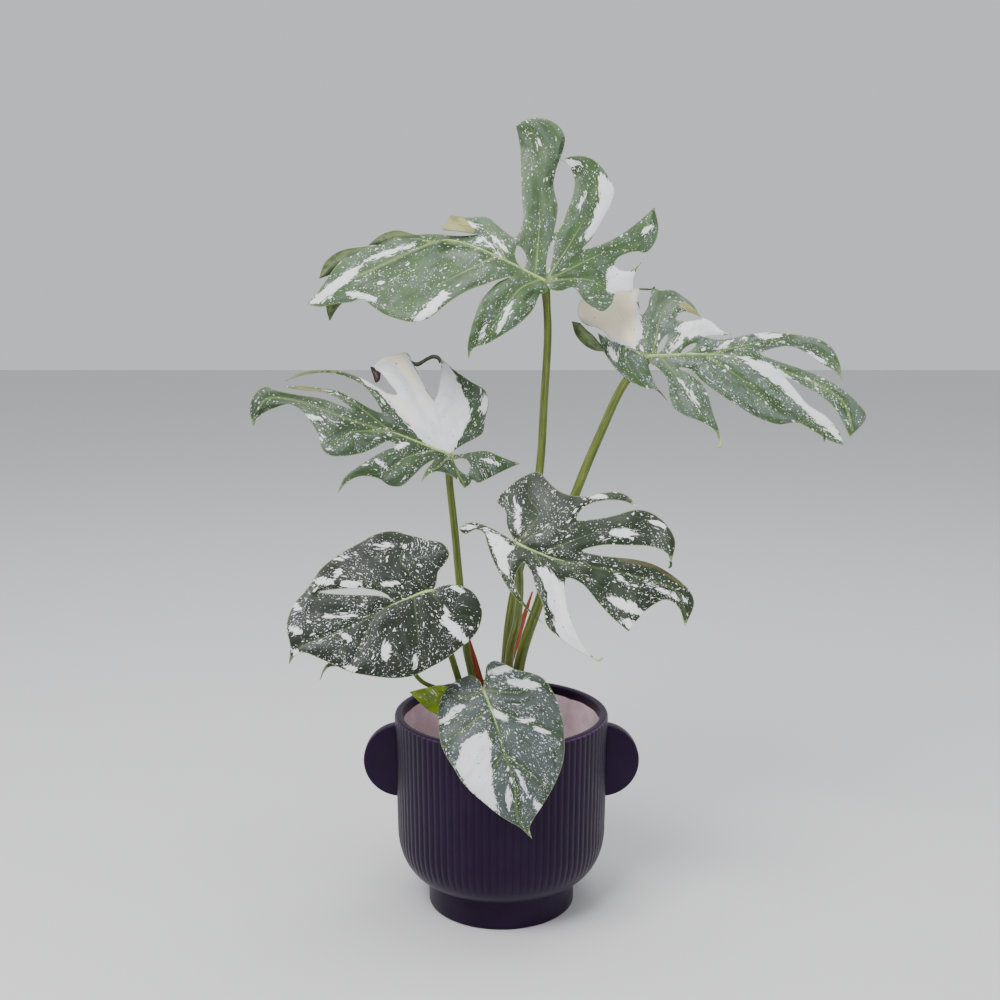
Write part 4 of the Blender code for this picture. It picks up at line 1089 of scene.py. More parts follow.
def leaf_material(name, settings, under=False):
    """A blade's marbled green and white, and the paler underside."""
    material, tree, shader = new_material(name, settings.dark, 0.42, Specular_IOR_Level=0.3)
    grain = node(tree, "UVMap", uv_map="grain").outputs[0]
    pattern = grouped(tree, group_named("variegation", make_variegation), {
        "Grain": grain, "Flecks": attribute(tree, "flecks"), "Grey": attribute(tree, "grey"),
        "White area": attribute(tree, "white_area"), "Vein zone": attribute(tree, "vein_zone")})
    deep = cloudy(tree, stretched(tree, grain, 3, 9), 1.0, 4.0, 0.6)
    green = mixed(tree, between(tree, deep, 0.36, 0.66), dimmed(settings.dark, 0.78),
                  dimmed(settings.dark, 1.28))
    green = mixed(tree, pattern["Grey"], green, settings.grey)
    # Painted shade: the blade's green, its veins' lime and its olive are darkened by the blade's shade
    # number, the lower blades most.
    painted_shade = attribute(tree, "painted_shade")
    green = scaled(tree, green, painted_shade)
    young = attribute(tree, "young")
    green = mixed(tree, young, green, mixed(tree, between(tree, deep, 0.4, 0.6),
                                            dimmed(settings.young, 0.6), settings.young))
    vein = attribute(tree, "vein")
    lit = maths(tree, "MINIMUM", painted_shade, 1.0)
    line = times(tree, between(tree, vein, 0.20, 0.04, 0.0, 0.55), lit)
    green = mixed(tree, line, green, dimmed(settings.lime, 0.6))
    white = mixed(tree, between(tree, deep, 0.45, 0.60, 0.0, 0.6), settings.white,
                  dimmed(settings.white, 0.80))
    white = mixed(tree, between(tree, attribute(tree, "cream_area"), -0.15, 0.45, 0.0, 0.85), white,
                  settings.cream)
    whole = mixed(tree, between(tree, attribute(tree, "white_area"), 0.1, 0.9, 0.0, 1.0),
                  dimmed(settings.white, 0.92), white)
    colour = mixed(tree, pattern["White"], green, whole)
    colour = mixed(tree, between(tree, attribute(tree, "edge"), 0.09, 0.03, 0.0, 0.5), colour,
                   dimmed(settings.lime, 0.62))
    olive = mixed(tree, between(tree, deep, 0.4, 0.62), dimmed(settings.olive, 0.75),
                  dimmed(settings.olive, 1.2))
    olive = mixed(tree, between(tree, vein, 0.2, 0.05, 0.0, 0.7), olive, settings.lime)
    olive = scaled(tree, olive, lit)
    colour = mixed(tree, between(tree, attribute(tree, "olive_area"), -0.02, 0.05), colour, olive)
    # Painted shade: very dark green lines along folds and where one lobe lies over another.
    fold_shade_line = between(tree, attribute(tree, "fold_shade_area"), -0.05, 0.12, 0.0, 0.8)
    colour = mixed(tree, fold_shade_line, colour, dimmed(settings.dark, 0.35))
    if under:
        pale = node(tree, "HueSaturation", {"Color": colour, "Saturation": 0.92, "Value": 1.18}).outputs[0]
        colour = mixed(tree, 0.30, pale, settings.olive)
    smoothest = 0.50 if under else 0.36
    rough = between(tree, pattern["Fine"], 0.3, 0.7, smoothest, smoothest + 0.12)
    crease = between(tree, vein, 0.0, 0.16, 0.0, 1.0)
    height = plus(tree, times(tree, pattern["Fine"], 0.35),
                   times(tree, crease, 0.55 if not under else -0.3))
    finish(tree, shader, colour, rough, height, 0.0003)
    return material


def cord_material(name, colours, roughness):
    """Veins and slivers: a colour broken by fine streaks."""
    material, tree, shader = new_material(name, colours[0], roughness)
    where = node(tree, "TexCoord").outputs["Object"]
    soft_cloud = cloudy(tree, where, 130.0, 4.0, 0.6)
    fine = cloudy(tree, where, 700.0, 2.0)
    colour = mixed(tree, between(tree, soft_cloud, 0.38, 0.62), colours[0], colours[1])
    finish(tree, shader, colour, between(tree, fine, 0.3, 0.7, roughness - 0.06, roughness + 0.08),
           fine, 0.00012)
    return material


def stalk_material(settings):
    """Green with long pale and dark streaks."""
    material, tree, shader = new_material("stalk", settings.green, 0.42, Specular_IOR_Level=0.45)
    along = node(tree, "UVMap", uv_map="grain").outputs[0]
    marks = grouped(tree, group_named("streaks", make_streaks),
                    {"Vector": along, "Across": 9.0, "Along": 1.4, "Detail": 4.0})
    thin = grouped(tree, group_named("streaks", make_streaks),
                   {"Vector": along, "Across": 26.0, "Along": 3.0, "Detail": 3.0})
    colour = mixed(tree, between(tree, marks["Streak"], 0.36, 0.62), dimmed(settings.green, 0.62),
                   dimmed(settings.green, 1.25))
    colour = mixed(tree, between(tree, thin["Streak"], 0.56, 0.72, 0.0, 0.85), colour, settings.yellow)
    colour = mixed(tree, between(tree, thin["Fine"], 0.62, 0.74, 0.0, 0.6), colour,
                   dimmed(settings.green, 0.35))
    knee = attribute(tree, "knee")
    colour = mixed(tree, times(tree, knee, 0.55), colour, dimmed(settings.yellow, 0.72))
    low = attribute(tree, "low")
    colour = mixed(tree, times(tree, low, 0.35), colour, dimmed(settings.yellow, 0.9))
    finish(tree, shader, colour, between(tree, marks["Fine"], 0.3, 0.7, 0.36, 0.5), thin["Streak"], 0.0005)
    return material


def sheath_material(settings):
    """Dry rust paper with pale and dark fibres."""
    material, tree, shader = new_material("papery_sheath", settings.rust, 0.6)
    along = node(tree, "UVMap", uv_map="grain").outputs[0]
    marks = grouped(tree, group_named("streaks", make_streaks),
                    {"Vector": along, "Across": 12.0, "Along": 1.2, "Detail": 4.0})
    colour = mixed(tree, between(tree, marks["Streak"], 0.38, 0.62), dimmed(settings.rust, 0.45),
                   settings.rust)
    colour = mixed(tree, between(tree, marks["Fine"], 0.56, 0.72, 0.0, 0.8), colour, (0.55, 0.19, 0.045))
    colour = mixed(tree, between(tree, marks["Fine"], 0.40, 0.30, 0.0, 0.85), colour, (0.035, 0.012, 0.006))
    finish(tree, shader, colour, None, marks["Fine"], 0.0008)
    return material


def glaze_material(settings):
    """Dark satin glaze, paler on the reeds' crests and edges where it breaks thin and as painted highlight,
    darker in the grooves as painted shade, and bare clay inside.
    """
    material, tree, shader = new_material("satin_glaze", settings.glaze, 0.4, Specular_IOR_Level=0.22,
                                          Specular_Tint=(0.75, 0.52, 1.0, 1.0))
    where = node(tree, "TexCoord").outputs["Object"]
    thin_glaze_and_highlight = attribute(tree, "thin_glaze_and_highlight")
    bare = attribute(tree, "bare")
    cloud = cloudy(tree, where, 28.0, 4.0, 0.55)
    speck = cloudy(tree, where, 900.0, 2.0)
    colour = mixed(tree, between(tree, cloud, 0.35, 0.65), dimmed(settings.glaze, 0.82),
                   dimmed(settings.glaze, 1.22))
    # Painted highlight with thin glaze: paler purple on the crests and edges.
    colour = mixed(tree, between(tree, plus(tree, thin_glaze_and_highlight, times(tree, speck, 0.25)),
                                 0.55, 1.25, 0.0, 0.9), colour, settings.glaze_break_and_highlight)
    # Painted shade: the grooves between the reeds darkened.
    groove = attribute(tree, "groove")
    colour = mixed(tree, times(tree, groove, 0.75), colour, dimmed(settings.glaze, 0.3))
    ragged = maths(tree, "MULTIPLY_ADD", cloudy(tree, where, 55.0, 3.0), 0.35, bare)
    clay = mixed(tree, between(tree, cloudy(tree, where, 34.0, 5.0, 0.6), 0.38, 0.64),
                 dimmed(settings.clay, 0.86), dimmed(settings.clay, 1.06))
    clay = mixed(tree, between(tree, cloudy(tree, where, 420.0, 2.0), 0.62, 0.72, 0.0, 0.5), clay,
                 dimmed(settings.clay, 0.6))
    line = between(tree, ragged, 0.10, 0.16)
    colour = mixed(tree, line, colour, (0.23, 0.055, 0.022))
    inside = between(tree, ragged, 0.18, 0.24)
    colour = mixed(tree, inside, colour, clay)
    rough = mixed(tree, inside, (0.36, 0.36, 0.36), (0.85, 0.85, 0.85))
    rough = plus(tree, rough, between(tree, cloud, 0.3, 0.7, -0.03, 0.05))
    height = plus(tree, times(tree, speck, 0.3),
                   times(tree, cloudy(tree, where, 160.0, 3.0), 0.8))
    finish(tree, shader, colour, rough, height, 0.00022)
    return material


def soil_material(settings):
    """Dark lumpy mix with paler grit."""
    material, tree, shader = new_material("potting_mix", settings.brown, 0.92)
    where = node(tree, "TexCoord").outputs["Object"]
    lumps = cloudy(tree, where, 90.0, 6.0, 0.7)
    grit = node(tree, "TexVoronoi", {"Vector": where, "Scale": 330.0})
    colour = mixed(tree, between(tree, lumps, 0.38, 0.66), dimmed(settings.brown, 0.35),
                   dimmed(settings.brown, 1.6))
    red, _, _ = node(tree, "SeparateColor", {0: grit.outputs["Color"]}).outputs
    colour = mixed(tree, between(tree, red, 0.90, 0.95, 0.0, 0.7), colour, (0.20, 0.12, 0.065))
    height = plus(tree, lumps, times(tree, grit.outputs["Distance"], -0.7))
    finish(tree, shader, colour, between(tree, lumps, 0.3, 0.7, 0.8, 0.98), height, 0.0016)
    return material


def crumb_material(name, colour):
    """A crumb's colour, cloudy and rough."""
    material, tree, shader = new_material(name, colour, 0.9)
    where = node(tree, "TexCoord").outputs["Object"]
    cloud = cloudy(tree, where, 600.0, 4.0, 0.65)
    finish(tree, shader, mixed(tree, between(tree, cloud, 0.35, 0.65), dimmed(colour, 0.55),
                               dimmed(colour, 1.25)), None, cloud, 0.0005)
    return material


def bark_material():
    """The stem's brown and green skin, ringed with scars."""
    material, tree, shader = new_material("stem_skin", (0.12, 0.105, 0.04), 0.7)
    where = node(tree, "TexCoord").outputs["Object"]
    cloud = cloudy(tree, where, 140.0, 5.0, 0.65)
    rings = cloudy(tree, stretched(tree, where, 60, 60, 700), 1.0, 3.0, 0.6)
    colour = mixed(tree, between(tree, cloud, 0.38, 0.6), (0.055, 0.040, 0.018), (0.17, 0.17, 0.055))
    colour = mixed(tree, between(tree, rings, 0.55, 0.68, 0.0, 0.8), colour, (0.26, 0.20, 0.11))
    finish(tree, shader, colour, between(tree, cloud, 0.3, 0.7, 0.6, 0.8), rings, 0.0008)
    return material


# ---------------------------------------------------------------- pot

WALL = 8.0
FOOT_RADIUS, FOOT_HEIGHT, FOOT_BEVEL = 72.5, 31.0, 1.5
BELLY_RADIUS = RIM - 2.0
WALL_HEIGHT = TOP - FOOT_HEIGHT
BOWL_HEIGHT = 0.28 * WALL_HEIGHT
BOWL_START = FOOT_RADIUS + FOOT_BEVEL
BOWL_TOP = FOOT_HEIGHT + BOWL_HEIGHT
FOOT_ROUND, LIP_ROUND, INNER_ROUND = 1.8, 3.2, 2.2      # radii of the pot's three rounded edges
FLOOR = 10.0
REED_START, REED_FADE = 43.0, 17.0    # the reeds start at this height and are full this much above it
EAR_RADIUS, EAR_THICKNESS, EAR_BEVEL = 37.0, 13.0, 2.0
EAR_Z = TOP - 50.0
EAR_SINK = 5.0                        # the ear's middle is this far inside the wall
EAR_CUT = 100.5                       # and the ear is cut off here, inside the wall
COLUMNS = 8                           # mesh columns across one reed


def outer_radius(z):
    """The outside above the bowl."""
    knee = TOP - 0.3 * WALL_HEIGHT
    near = RIM - 0.8
    if z < knee:
        return BELLY_RADIUS + (near - BELLY_RADIUS) * (z - BOWL_TOP) / (knee - BOWL_TOP)
    return near + (RIM - near) * (z - knee) / (TOP - knee)


def cavity_radius(z):
    """The inside of the pot."""
    if z <= FOOT_HEIGHT + WALL:
        return FOOT_RADIUS - WALL
    if z < BOWL_TOP + WALL:
        turn = math.acos(max(0.0, 1 - (z - WALL - FOOT_HEIGHT) / BOWL_HEIGHT))
        return BOWL_START + (BELLY_RADIUS - BOWL_START) * math.sin(turn) - WALL
    return outer_radius(z) - WALL


def pot_profile():
    """Radius and height from the foot's middle, up the outside, over the lip and down the cavity."""
    line = [(0, 1.2), (52, 1.2), (55, 0), (FOOT_RADIUS - FOOT_ROUND, 0)]
    line += [(FOOT_RADIUS - FOOT_ROUND + FOOT_ROUND * math.sin(t), FOOT_ROUND * (1 - math.cos(t)))
             for t in (0.5, 1.05, 1.57)]
    line += [(FOOT_RADIUS, z) for z in (8, 16, 23, 27)]
    line += [(FOOT_RADIUS, FOOT_HEIGHT - 2.2), (FOOT_RADIUS + 0.15, FOOT_HEIGHT - 1.0),
             (FOOT_RADIUS + 0.7, FOOT_HEIGHT - 0.2), (BOWL_START, FOOT_HEIGHT)]
    for k in range(1, 25):
        turn = math.pi / 2 * k / 24
        line.append((BOWL_START + (BELLY_RADIUS - BOWL_START) * math.sin(turn),
                     FOOT_HEIGHT + BOWL_HEIGHT * (1 - math.cos(turn))))
    line += [(outer_radius(z), z) for z in np.linspace(BOWL_TOP, TOP - LIP_ROUND, 24)[1:]]
    line += [(RIM - LIP_ROUND + LIP_ROUND * math.cos(t), TOP - LIP_ROUND + LIP_ROUND * math.sin(t))
             for t in np.linspace(0, math.pi / 2, 8)[1:]]
    line += [(RIM - WALL + INNER_ROUND - INNER_ROUND * math.sin(t),
              TOP - INNER_ROUND + INNER_ROUND * math.cos(t)) for t in np.linspace(0, math.pi / 2, 6)]
    line += [(cavity_radius(z), z) for z in np.linspace(TOP - INNER_ROUND, BOWL_TOP + WALL, 26)[1:]]
    line += [(cavity_radius(z), z) for z in np.linspace(BOWL_TOP + WALL, FOOT_HEIGHT + WALL, 14)[1:]]
    line += [(FOOT_RADIUS - WALL, FLOOR + 3), (FOOT_RADIUS - WALL - 3, FLOOR), (0, FLOOR)]
    return line


def spun(name, profile, steps, materials):
    """Spin a profile of radius and height, in millimetres, round the Z axis and close it."""
    thing = object_from(name, [(r, 0, z) for r, z in profile], [], materials,
                        [(k, k + 1) for k in range(len(profile) - 1)])
    edit(thing)
    bpy.ops.mesh.spin(steps=steps, angle=2 * math.pi, center=(0, 0, 0), axis=(0, 0, 1))
    bpy.ops.mesh.select_all(action="SELECT")
    bpy.ops.mesh.remove_doubles(threshold=0.000004)
    bpy.ops.mesh.normals_make_consistent(inside=False)
    bpy.ops.object.mode_set(mode="OBJECT")
    return thing


def make_ear(side, material):
    """A thick disc on edge with rounded edges, cut off inside the wall."""
    deselect()
    centre = (side * (outer_radius(EAR_Z) - EAR_SINK) * MM, 0, EAR_Z * MM)
    bpy.ops.mesh.primitive_cylinder_add(vertices=128, radius=EAR_RADIUS * MM, depth=EAR_THICKNESS * MM,
                                        location=centre, rotation=(math.pi / 2, 0, 0))
    ear = bpy.context.object
    ear.data.materials.append(material)
    pick(ear)
    bpy.ops.object.transform_apply(location=True, rotation=True, scale=True)
    bpy.ops.object.mode_set(mode="EDIT")
    bpy.ops.mesh.select_all(action="DESELECT")
    bpy.ops.object.mode_set(mode="OBJECT")
    for edge in ear.data.edges:
        a, b = (ear.data.vertices[k].co for k in edge.vertices)
        edge.select = abs(a.y - b.y) < 1e-6
    bpy.ops.object.mode_set(mode="EDIT")
    bpy.ops.mesh.bevel(offset=EAR_BEVEL * MM, segments=5, profile=0.5)
    bpy.ops.mesh.select_all(action="SELECT")
    bpy.ops.mesh.bisect(plane_co=(side * EAR_CUT * MM, 0, 0), plane_no=(side, 0, 0), use_fill=True,
                        clear_inner=True)
    bpy.ops.mesh.select_all(action="SELECT")
    bpy.ops.mesh.normals_make_consistent(inside=False)
    bpy.ops.object.mode_set(mode="OBJECT")
    place = np.array([tuple(v.co) for v in ear.data.vertices]) / MM
    radius = np.hypot(place[:, 0] - centre[0] / MM, place[:, 2] - EAR_Z)
    # Painted highlight with thin glaze round the ear's rounded edge.
    near_edge = ramp(radius, EAR_RADIUS - 2.4, 2.4) * ramp(np.abs(place[:, 1]), 3.0, 3.3)
    give(ear.data, "thin_glaze_and_highlight", 0.95 * near_edge)
    give(ear.data, "groove", np.zeros(len(place)))
    give(ear.data, "bare", np.full(len(place), -1.0))
    return ear


def make_pot(settings):
    """Spin the pot, press the reeds into its wall, mark where its glaze changes, where highlight is painted
    on its edges and shade in its grooves, and add its ears.
    """
    material = glaze_material(settings)
    pot = spun("fluted_pot", pot_profile(), settings.reeds * COLUMNS, [material])
    place = np.empty(len(pot.data.vertices) * 3)
    pot.data.vertices.foreach_get("co", place)
    place = place.reshape(-1, 3) / MM
    radius = np.hypot(place[:, 0], place[:, 1])
    z = place[:, 2]
    outer = radius > np.where(z > BOWL_TOP, RIM - 4.0, 0)
    outer &= (z > FOOT_HEIGHT + 3) & (z < TOP - 0.4)
    outer &= radius > np.array([cavity_radius(h) for h in z]) + 1.5
    share = np.arctan2(place[:, 1], place[:, 0]) / (2 * math.pi) * settings.reeds % 1.0
    dome = 1 - np.abs(np.sin(math.pi * share))
    rise = ramp(z, REED_START, REED_FADE)
    strength = np.where(outer, rise * rise * (3 - 2 * rise) * np.clip((TOP - 0.6 - z) / 2.5, 0, 1) ** 0.6, 0)
    inward = settings.reed_depth / MM * dome * strength
    scale = np.where(radius > 1, (radius - inward) / np.maximum(radius, 1), 1)
    place[:, 0] *= scale
    place[:, 1] *= scale
    pot.data.vertices.foreach_set("co", (place * MM).ravel())
    # Painted highlight with thin glaze on the reeds' crests, the lip, the inner lip and the foot's edge.
    lip = band(radius, RIM - 0.9, 1.5) * ramp(z, TOP - 3.6, 1.2)
    inner_lip = band(radius, RIM - WALL + 0.7, 1.2) * ramp(z, TOP - 2.4, 1.2)
    foot_edge = band(z, 1.0, 1.2) * (radius > FOOT_RADIUS - 1.2)
    thin_glaze_and_highlight = 0.24 * (1 - dome) * strength + lip + 0.8 * inner_lip + 0.6 * foot_edge
    give(pot.data, "thin_glaze_and_highlight", np.clip(thin_glaze_and_highlight, 0, 1))
    # The groove mask carries painted shade in the grooves between the reeds.
    give(pot.data, "groove", soft(dome - 1, 0.35) * strength)
    line = settings.glaze_line / MM
    inside = (radius < RIM - WALL + 1.5) & (z > FLOOR - 1) & \
        (radius < np.array([cavity_radius(h) for h in z]) + 0.8)
    give(pot.data, "bare", np.where(inside, (TOP - line - z) / 8, -1.0))
    join(pot, make_ear(-1, material), make_ear(1, material))
    settle(pot, 45)
    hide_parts("pot")
    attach(pot, "root")


# ---------------------------------------------------------------- soil and stem

def make_soil(settings):
    """A lumpy disc of potting mix that fills the pot across."""
    material = soil_material(settings)
    base = [SOIL - 18, SOIL - 9]
    edge = cavity_radius(SOIL) - 0.4
    profile = [(0, base[0]), (cavity_radius(base[0]) - 0.8, base[0]), (cavity_radius(base[1]) - 0.6, base[1])]
    profile += [(r, SOIL - 1.4) for r in np.linspace(edge, 0, 46)]
    soil = spun("potting_soil", profile, 260, [material])
    for vertex in soil.data.vertices:
        x, y, z = vertex.co / MM
        if z > SOIL - 3:
            radius = math.hypot(x, y)
            fade = min(1.0, (edge - radius) / 6 + 0.15)
            bump = 2.0 * noise.noise(Vector((x / 22, y / 22, 3.0)))
            bump += 1.1 * noise.noise(Vector((x / 7, y / 7, 8.0)))
            bump += 0.7 * noise.noise(Vector((x / 2.6, y / 2.6, 1.0)))
            vertex.co.z += MM * fade * (bump * 0.62 - 0.5)
    settle(soil, 80)
    return soil


def crumb(name, size, place, seed, material):
    """A small irregular lump."""
    deselect()
    bpy.ops.mesh.primitive_ico_sphere_add(subdivisions=1, radius=size * MM, location=place * MM)
    lump = bpy.context.object
    lump.name = name
    lump.data.materials.append(material)
    random = np.random.default_rng(seed)
    stretch = random.uniform(0.6, 1.3, 3)
    for vertex in lump.data.vertices:
        shake = 1 + random.uniform(-0.28, 0.28)
        vertex.co = Vector([c * s * shake for c, s in zip(vertex.co, stretch)])
    return lump


def scatter_crumbs(settings):
    """Bark, perlite and fibre crumbs, each made as its own lump, scattered over the soil and joined by kind.
    """
    random = np.random.default_rng(12)
    kinds = [("bark", (0.085, 0.045, 0.024), 2.3), ("perlite", (0.62, 0.60, 0.55), 1.25),
             ("coir", (0.16, 0.085, 0.045), 1.5)]
    share = (0.55, 0.2, 0.25)
    groups = []
    reach = cavity_radius(SOIL) - 6
    for row, (name, colour, size) in enumerate(kinds):
        material = crumb_material(name, colour)
        lumps = []
        for k in range(int(settings.crumbs * share[row])):
            radius, turn = reach * math.sqrt(random.uniform(0.02, 1)), random.uniform(0, 2 * math.pi)
            big = size * random.uniform(0.55, 1.35)
            place = Vector((radius * math.cos(turn), radius * math.sin(turn), SOIL - 1.2 + 0.25 * big))
            lumps.append(crumb(f"{name}_{k}", big, place, 100 * row + k, material))
        whole = join(*lumps)
        whole.name = f"{name}_crumbs"
        settle(whole, 35)
        groups.append(whole)
    return groups


def make_stem():
    """The short knobbly stem, with the scars of old stalks round it."""
    material = bark_material()
    rings = [(0, 0), (9.4, 0), (9.6, 3), (8.6, 5), (9.2, 8), (9.0, 12), (8.0, 13.5), (8.7, 16), (8.3, 20),
             (7.4, 21.5), (8.0, 24), (7.4, 28), (6.2, 31), (4.0, 33.2), (0, 34)]
    line = [(p.x, p.z) for p in smooth_line([(r, 0, z) for r, z in rings[1:-1]], 1.2)]
    stem = spun("stem", [(0, SOIL - 3)] + [(max(r, 0.2), SOIL - 3 + z) for r, z in line] + [(0, SOIL + 31)],
                48, [material])
    for vertex in stem.data.vertices:
        x, y, z = vertex.co / MM
        turn = math.atan2(y, x)
        swell = 1 + 0.10 * noise.noise(Vector((math.cos(turn) * 1.4, math.sin(turn) * 1.4, z / 9)))
        vertex.co = Vector((x * swell - 1, y * swell - 1, z)) * MM
    settle(stem, 60)
    return stem


# ---------------------------------------------------------------- stalks

KNEE = 30.0                           # the thicker end of a stalk, under its blade


def tube_along(name, line, sizes, material, section, sides=24):
    """A closed tube along a line. sizes gives the radius at a share of the way, section its shape."""
    total = length_of(line)
    count = max(12, int(total / 3.0))
    centres = [point_at(line, total * k / count) for k in range(count + 1)]
    points, shares = [], []
    side = Vector((1, 0, 0))
    for k, centre in enumerate(centres):
        ahead = (centres[min(k + 1, count)] - centres[max(k - 1, 0)]).normalized()
        side = (side - ahead * side.dot(ahead)).normalized()
        other = ahead.cross(side)
        share = k / count
        size = sizes(share)
        for j in range(sides):
            turn = 2 * math.pi * j / sides
            across, deep = section(turn, share)
            points.append(centre + side * size * across + other * size * deep)
            shares.append(share)
    faces = tube_faces(count + 1, sides)
    thing = object_from(name, points, faces, [material])
    loops = []
    for face in faces[:-2]:
        k, j = divmod(face[0], sides)
        for row, column in ((k, j), (k, j + 1), (k + 1, j + 1), (k + 1, j)):
            loops.append((0.55 * (1 - abs(2 * column / sides - 1)), total / 100 * row / count))
    loops += [(0.0, 0.0)] * (2 * sides)
    map_loops(thing.data, "grain", loops)
    return thing, np.array(shares)


def stalk_section(turn, share):
    """Round, with a shallow channel down its inner side and faint ridges."""
    channel = 0.16 * math.exp(-((turn - math.pi / 2 + 0.3) / 0.45) ** 2) * (1 - share) ** 0.4
    shape = 1 - channel + 0.018 * math.sin(7 * turn) + 0.012 * math.sin(11 * turn + 1)
    return shape * math.cos(turn), shape * math.sin(turn)


def make_stalk(leaf, blade, material):
    """The leaf's stalk, which widens to clasp the stem and thickens to a knee under the blade."""
    top = blade.hub - blade.out * 0.9
    bend = blade.hub - blade.out * 7.5 - blade.up * 3.0
    route = [above_soil(p) for p in leaf["petiole"]]
    route[0].z -= 2.0
    thick, thin = leaf["petiole_size"]
    line = smooth_line(route + [bend, top], STEP)
    total = length_of(line)
    knee = min(KNEE, 0.25 * total)

    def sizes(share):
        size = thick + (thin - thick) * share ** 0.7
        left = (1 - share) * total
        if left < knee:
            size *= 1 + 0.14 * math.sin(math.pi * min(1.0, left / knee)) ** 1.5
        if left < 5:
            size *= 0.62 + 0.38 * left / 5
        return size
    name = leaf["name"].replace("leaf", "stalk")
    stalk, shares = tube_along(name, line, sizes, material, stalk_section)
    left = (1 - shares) * total
    give(stalk.data, "knee", np.clip(1 - left / knee, 0, 1))
    give(stalk.data, "low", np.clip(1 - shares * total / 90, 0, 1))
    settle(stalk, 60)
    return stalk


def make_sheath(name, sheath, material):
    """A dry sheath: a rolled papery strip with a ragged, pointed end."""
    line = smooth_line([above_soil(p) for p in sheath["route"]], STEP)
    thick, thin = sheath["sizes"]
    seed = len(name)

    def sizes(share):
        ragged = 1 + 0.10 * noise.noise(Vector((share * 14, seed, 0)))
        return (thin * 0.6 + thick * (1 - share ** 2.0)) * ragged

    def section(turn, share):
        fold = 0.16 * math.sin(3 * turn + 5 * share) + 0.07 * math.sin(7 * turn - 9 * share)
        return (1 + fold) * math.cos(turn), (0.5 + fold) * math.sin(turn)
    piece, _ = tube_along(name.replace("sheath", "dry_sheath"), line, sizes, material, section, 28)
    settle(piece, 50)
    return piece


# ---------------------------------------------------------------- operators

CAMERA_PLACE = (-0.0013, -1.230, 0.6106)                # metres
LOOK_DOWN = 9.5                       # degrees
LENS, SENSOR = 46.8, 36.0
LIT_POINT = (0, 0, 0.35)              # where the three lights point, in metres


class MONSTERA_OT_pot(bpy.types.Operator):
    """Make the fluted, footed pot with its two disc ears"""
    bl_idname = "monstera.pot"
    bl_label = "Pot"
    bl_options = {"REGISTER", "UNDO"}

    def execute(self, context):
        make_pot(context.scene.monstera_pot)
        return {"FINISHED"}


class MONSTERA_OT_soil(bpy.types.Operator):
    """Make the potting mix with its crumbs, and the stem that stands in it"""
    bl_idname = "monstera.soil"
    bl_label = "Soil and stem"
    bl_options = {"REGISTER", "UNDO"}

    def execute(self, context):
        settings = context.scene.monstera_soil
        soil = make_soil(settings)
        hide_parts("soil")
        pieces = [soil] + scatter_crumbs(settings)
        for piece in pieces:
            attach(piece, "root")
        stem = make_stem()
        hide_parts("stem_base")
        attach(stem, "root")
        return {"FINISHED"}


class MONSTERA_OT_leaves(bpy.types.Operator):
    """Make the eight blades, each with its stalk"""
    bl_idname = "monstera.leaves"
    bl_label = "Leaves and stalks"
    bl_options = {"REGISTER", "UNDO"}

    def execute(self, context):
        leaf_settings = context.scene.monstera_leaf
        stalk_settings = context.scene.monstera_stalk
        lime, dark = leaf_settings.lime, leaf_settings.dark
        materials = [leaf_material("leaf_upper", leaf_settings),
                     leaf_material("leaf_under", leaf_settings, under=True),
                     cord_material("leaf_rib", (dimmed(lime, 0.8), dimmed(lime, 1.15)), 0.45),
                     cord_material("leaf_sliver", ((0.024, 0.044, 0.008), (0.070, 0.110, 0.020)), 0.5),
                     cord_material("leaf_fold", (dimmed(dark, 0.4), dimmed(dark, 0.9)), 0.5),
                     cord_material("dry_edge", ((0.012, 0.003, 0.003), (0.050, 0.010, 0.008)), 0.5)]
        green = stalk_material(stalk_settings)
        for leaf in LEAVES:
            piece, blade = make_leaf(leaf, leaf_settings, materials)
            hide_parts(leaf["name"])
            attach(piece, "root")
            stalk = make_stalk(leaf, blade, green)
            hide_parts(leaf["name"].replace("leaf", "petiole"))
            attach(stalk, "root")
        return {"FINISHED"}


class MONSTERA_OT_sheaths(bpy.types.Operator):
    """Make the two dry papery sheaths"""
    bl_idname = "monstera.sheaths"
    bl_label = "Dry sheaths"
    bl_options = {"REGISTER", "UNDO"}

    def execute(self, context):
        material = sheath_material(context.scene.monstera_stalk)
        for name, sheath in SHEATHS.items():
            piece = make_sheath(name, sheath, material)
            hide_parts(name)
            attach(piece, "root")
        return {"FINISHED"}


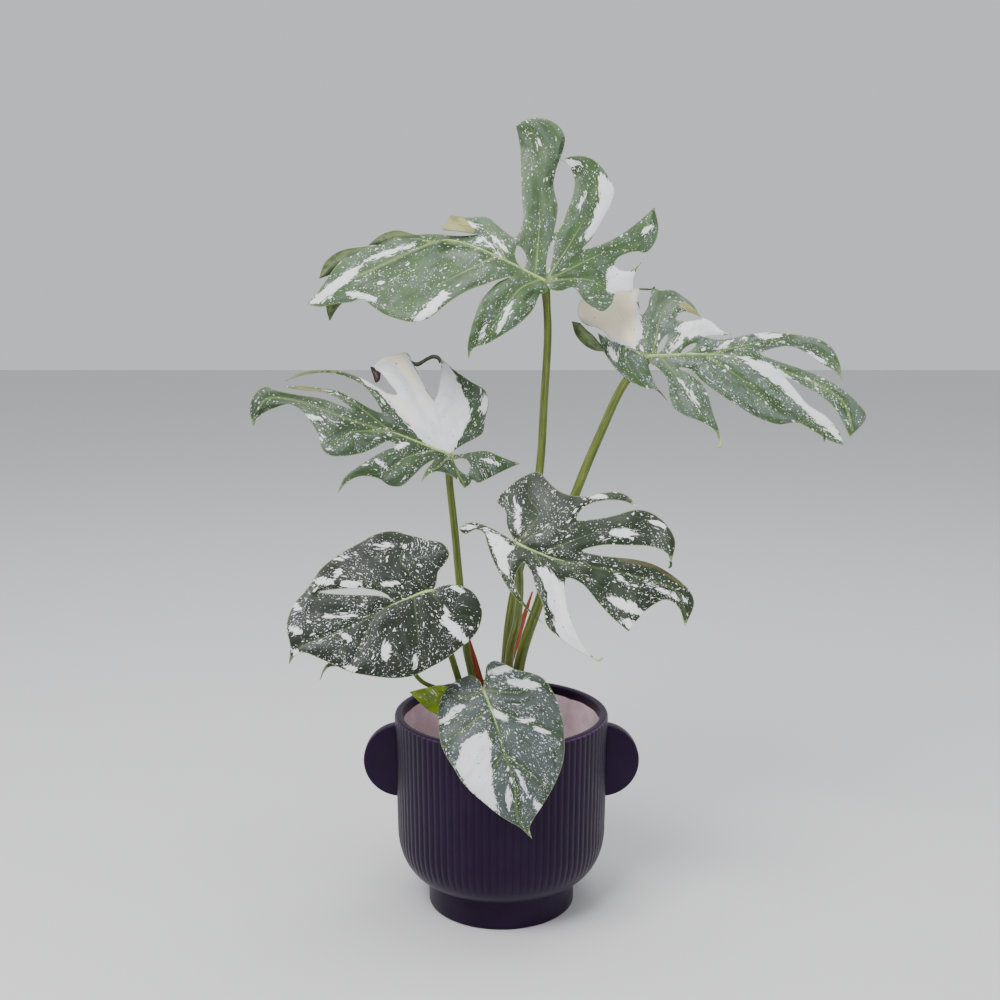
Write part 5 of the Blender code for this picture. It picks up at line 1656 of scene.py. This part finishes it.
class MONSTERA_OT_stage(bpy.types.Operator):
    """Make the plain pale floor, soft studio lights and the camera"""
    bl_idname = "monstera.stage"
    bl_label = "Stage"
    bl_options = {"REGISTER", "UNDO"}

    def execute(self, context):
        settings = context.scene.monstera_stage
        deselect()
        bpy.ops.mesh.primitive_plane_add(size=12, location=(0, 2, -0.0002))
        floor = context.object
        floor.name = "floor"
        material, _, _ = new_material("floor", settings.floor, 0.9)
        floor.data.materials.append(material)
        world = bpy.data.worlds.new("studio")
        world.use_nodes = True
        sky = world.node_tree.nodes["Background"]
        sky.inputs[0].default_value = (0.95, 0.96, 1.0, 1)
        sky.inputs[1].default_value = 0.70
        context.scene.world = world
        lights = [("key", (-1.0, -1.5, 2.5), 1.3, settings.light), ("fill", (1.9, -1.2, 1.4), 1.8, 10.0),
                  ("top", (0.2, 0.1, 2.6), 1.4, 28.0)]
        for name, place, size, power in lights:
            bpy.ops.object.light_add(type="AREA", location=place)
            light = context.object
            light.name = name
            light.data.size = size
            light.data.energy = power
            light.rotation_euler = (Vector(LIT_POINT) - Vector(place)).to_track_quat("-Z", "Y").to_euler()
        bpy.ops.object.camera_add(location=CAMERA_PLACE, rotation=(math.radians(90 - LOOK_DOWN), 0, 0))
        camera = context.object
        camera.data.sensor_width = SENSOR
        camera.data.lens = LENS
        context.scene.camera = camera
        return {"FINISHED"}


STEPS = (MONSTERA_OT_pot, MONSTERA_OT_soil, MONSTERA_OT_leaves, MONSTERA_OT_sheaths, MONSTERA_OT_stage)


class MONSTERA_PT_panel(bpy.types.Panel):
    """Lists the steps that make the plant"""
    bl_label = "Potted Monstera"
    bl_space_type = "VIEW_3D"
    bl_region_type = "UI"
    bl_category = "Monstera"

    def draw(self, context):
        for step in STEPS:
            self.layout.operator(step.bl_idname)


SETTINGS = {"monstera_pot": PotSettings, "monstera_leaf": LeafSettings, "monstera_stalk": StalkSettings,
            "monstera_soil": SoilSettings, "monstera_stage": StageSettings}
CLASSES = tuple(SETTINGS.values()) + STEPS + (MONSTERA_PT_panel,)


def register():
    for cls in CLASSES:
        bpy.utils.register_class(cls)
    for name, cls in SETTINGS.items():
        setattr(bpy.types.Scene, name, bpy.props.PointerProperty(type=cls))


def unregister():
    for name in SETTINGS:
        delattr(bpy.types.Scene, name)
    for cls in reversed(CLASSES):
        bpy.utils.unregister_class(cls)


def main():
    register()
    bpy.ops.monstera.pot()
    bpy.ops.monstera.soil()
    bpy.ops.monstera.leaves()
    bpy.ops.monstera.sheaths()
    bpy.ops.monstera.stage()


if __name__ == "__main__":
    main()
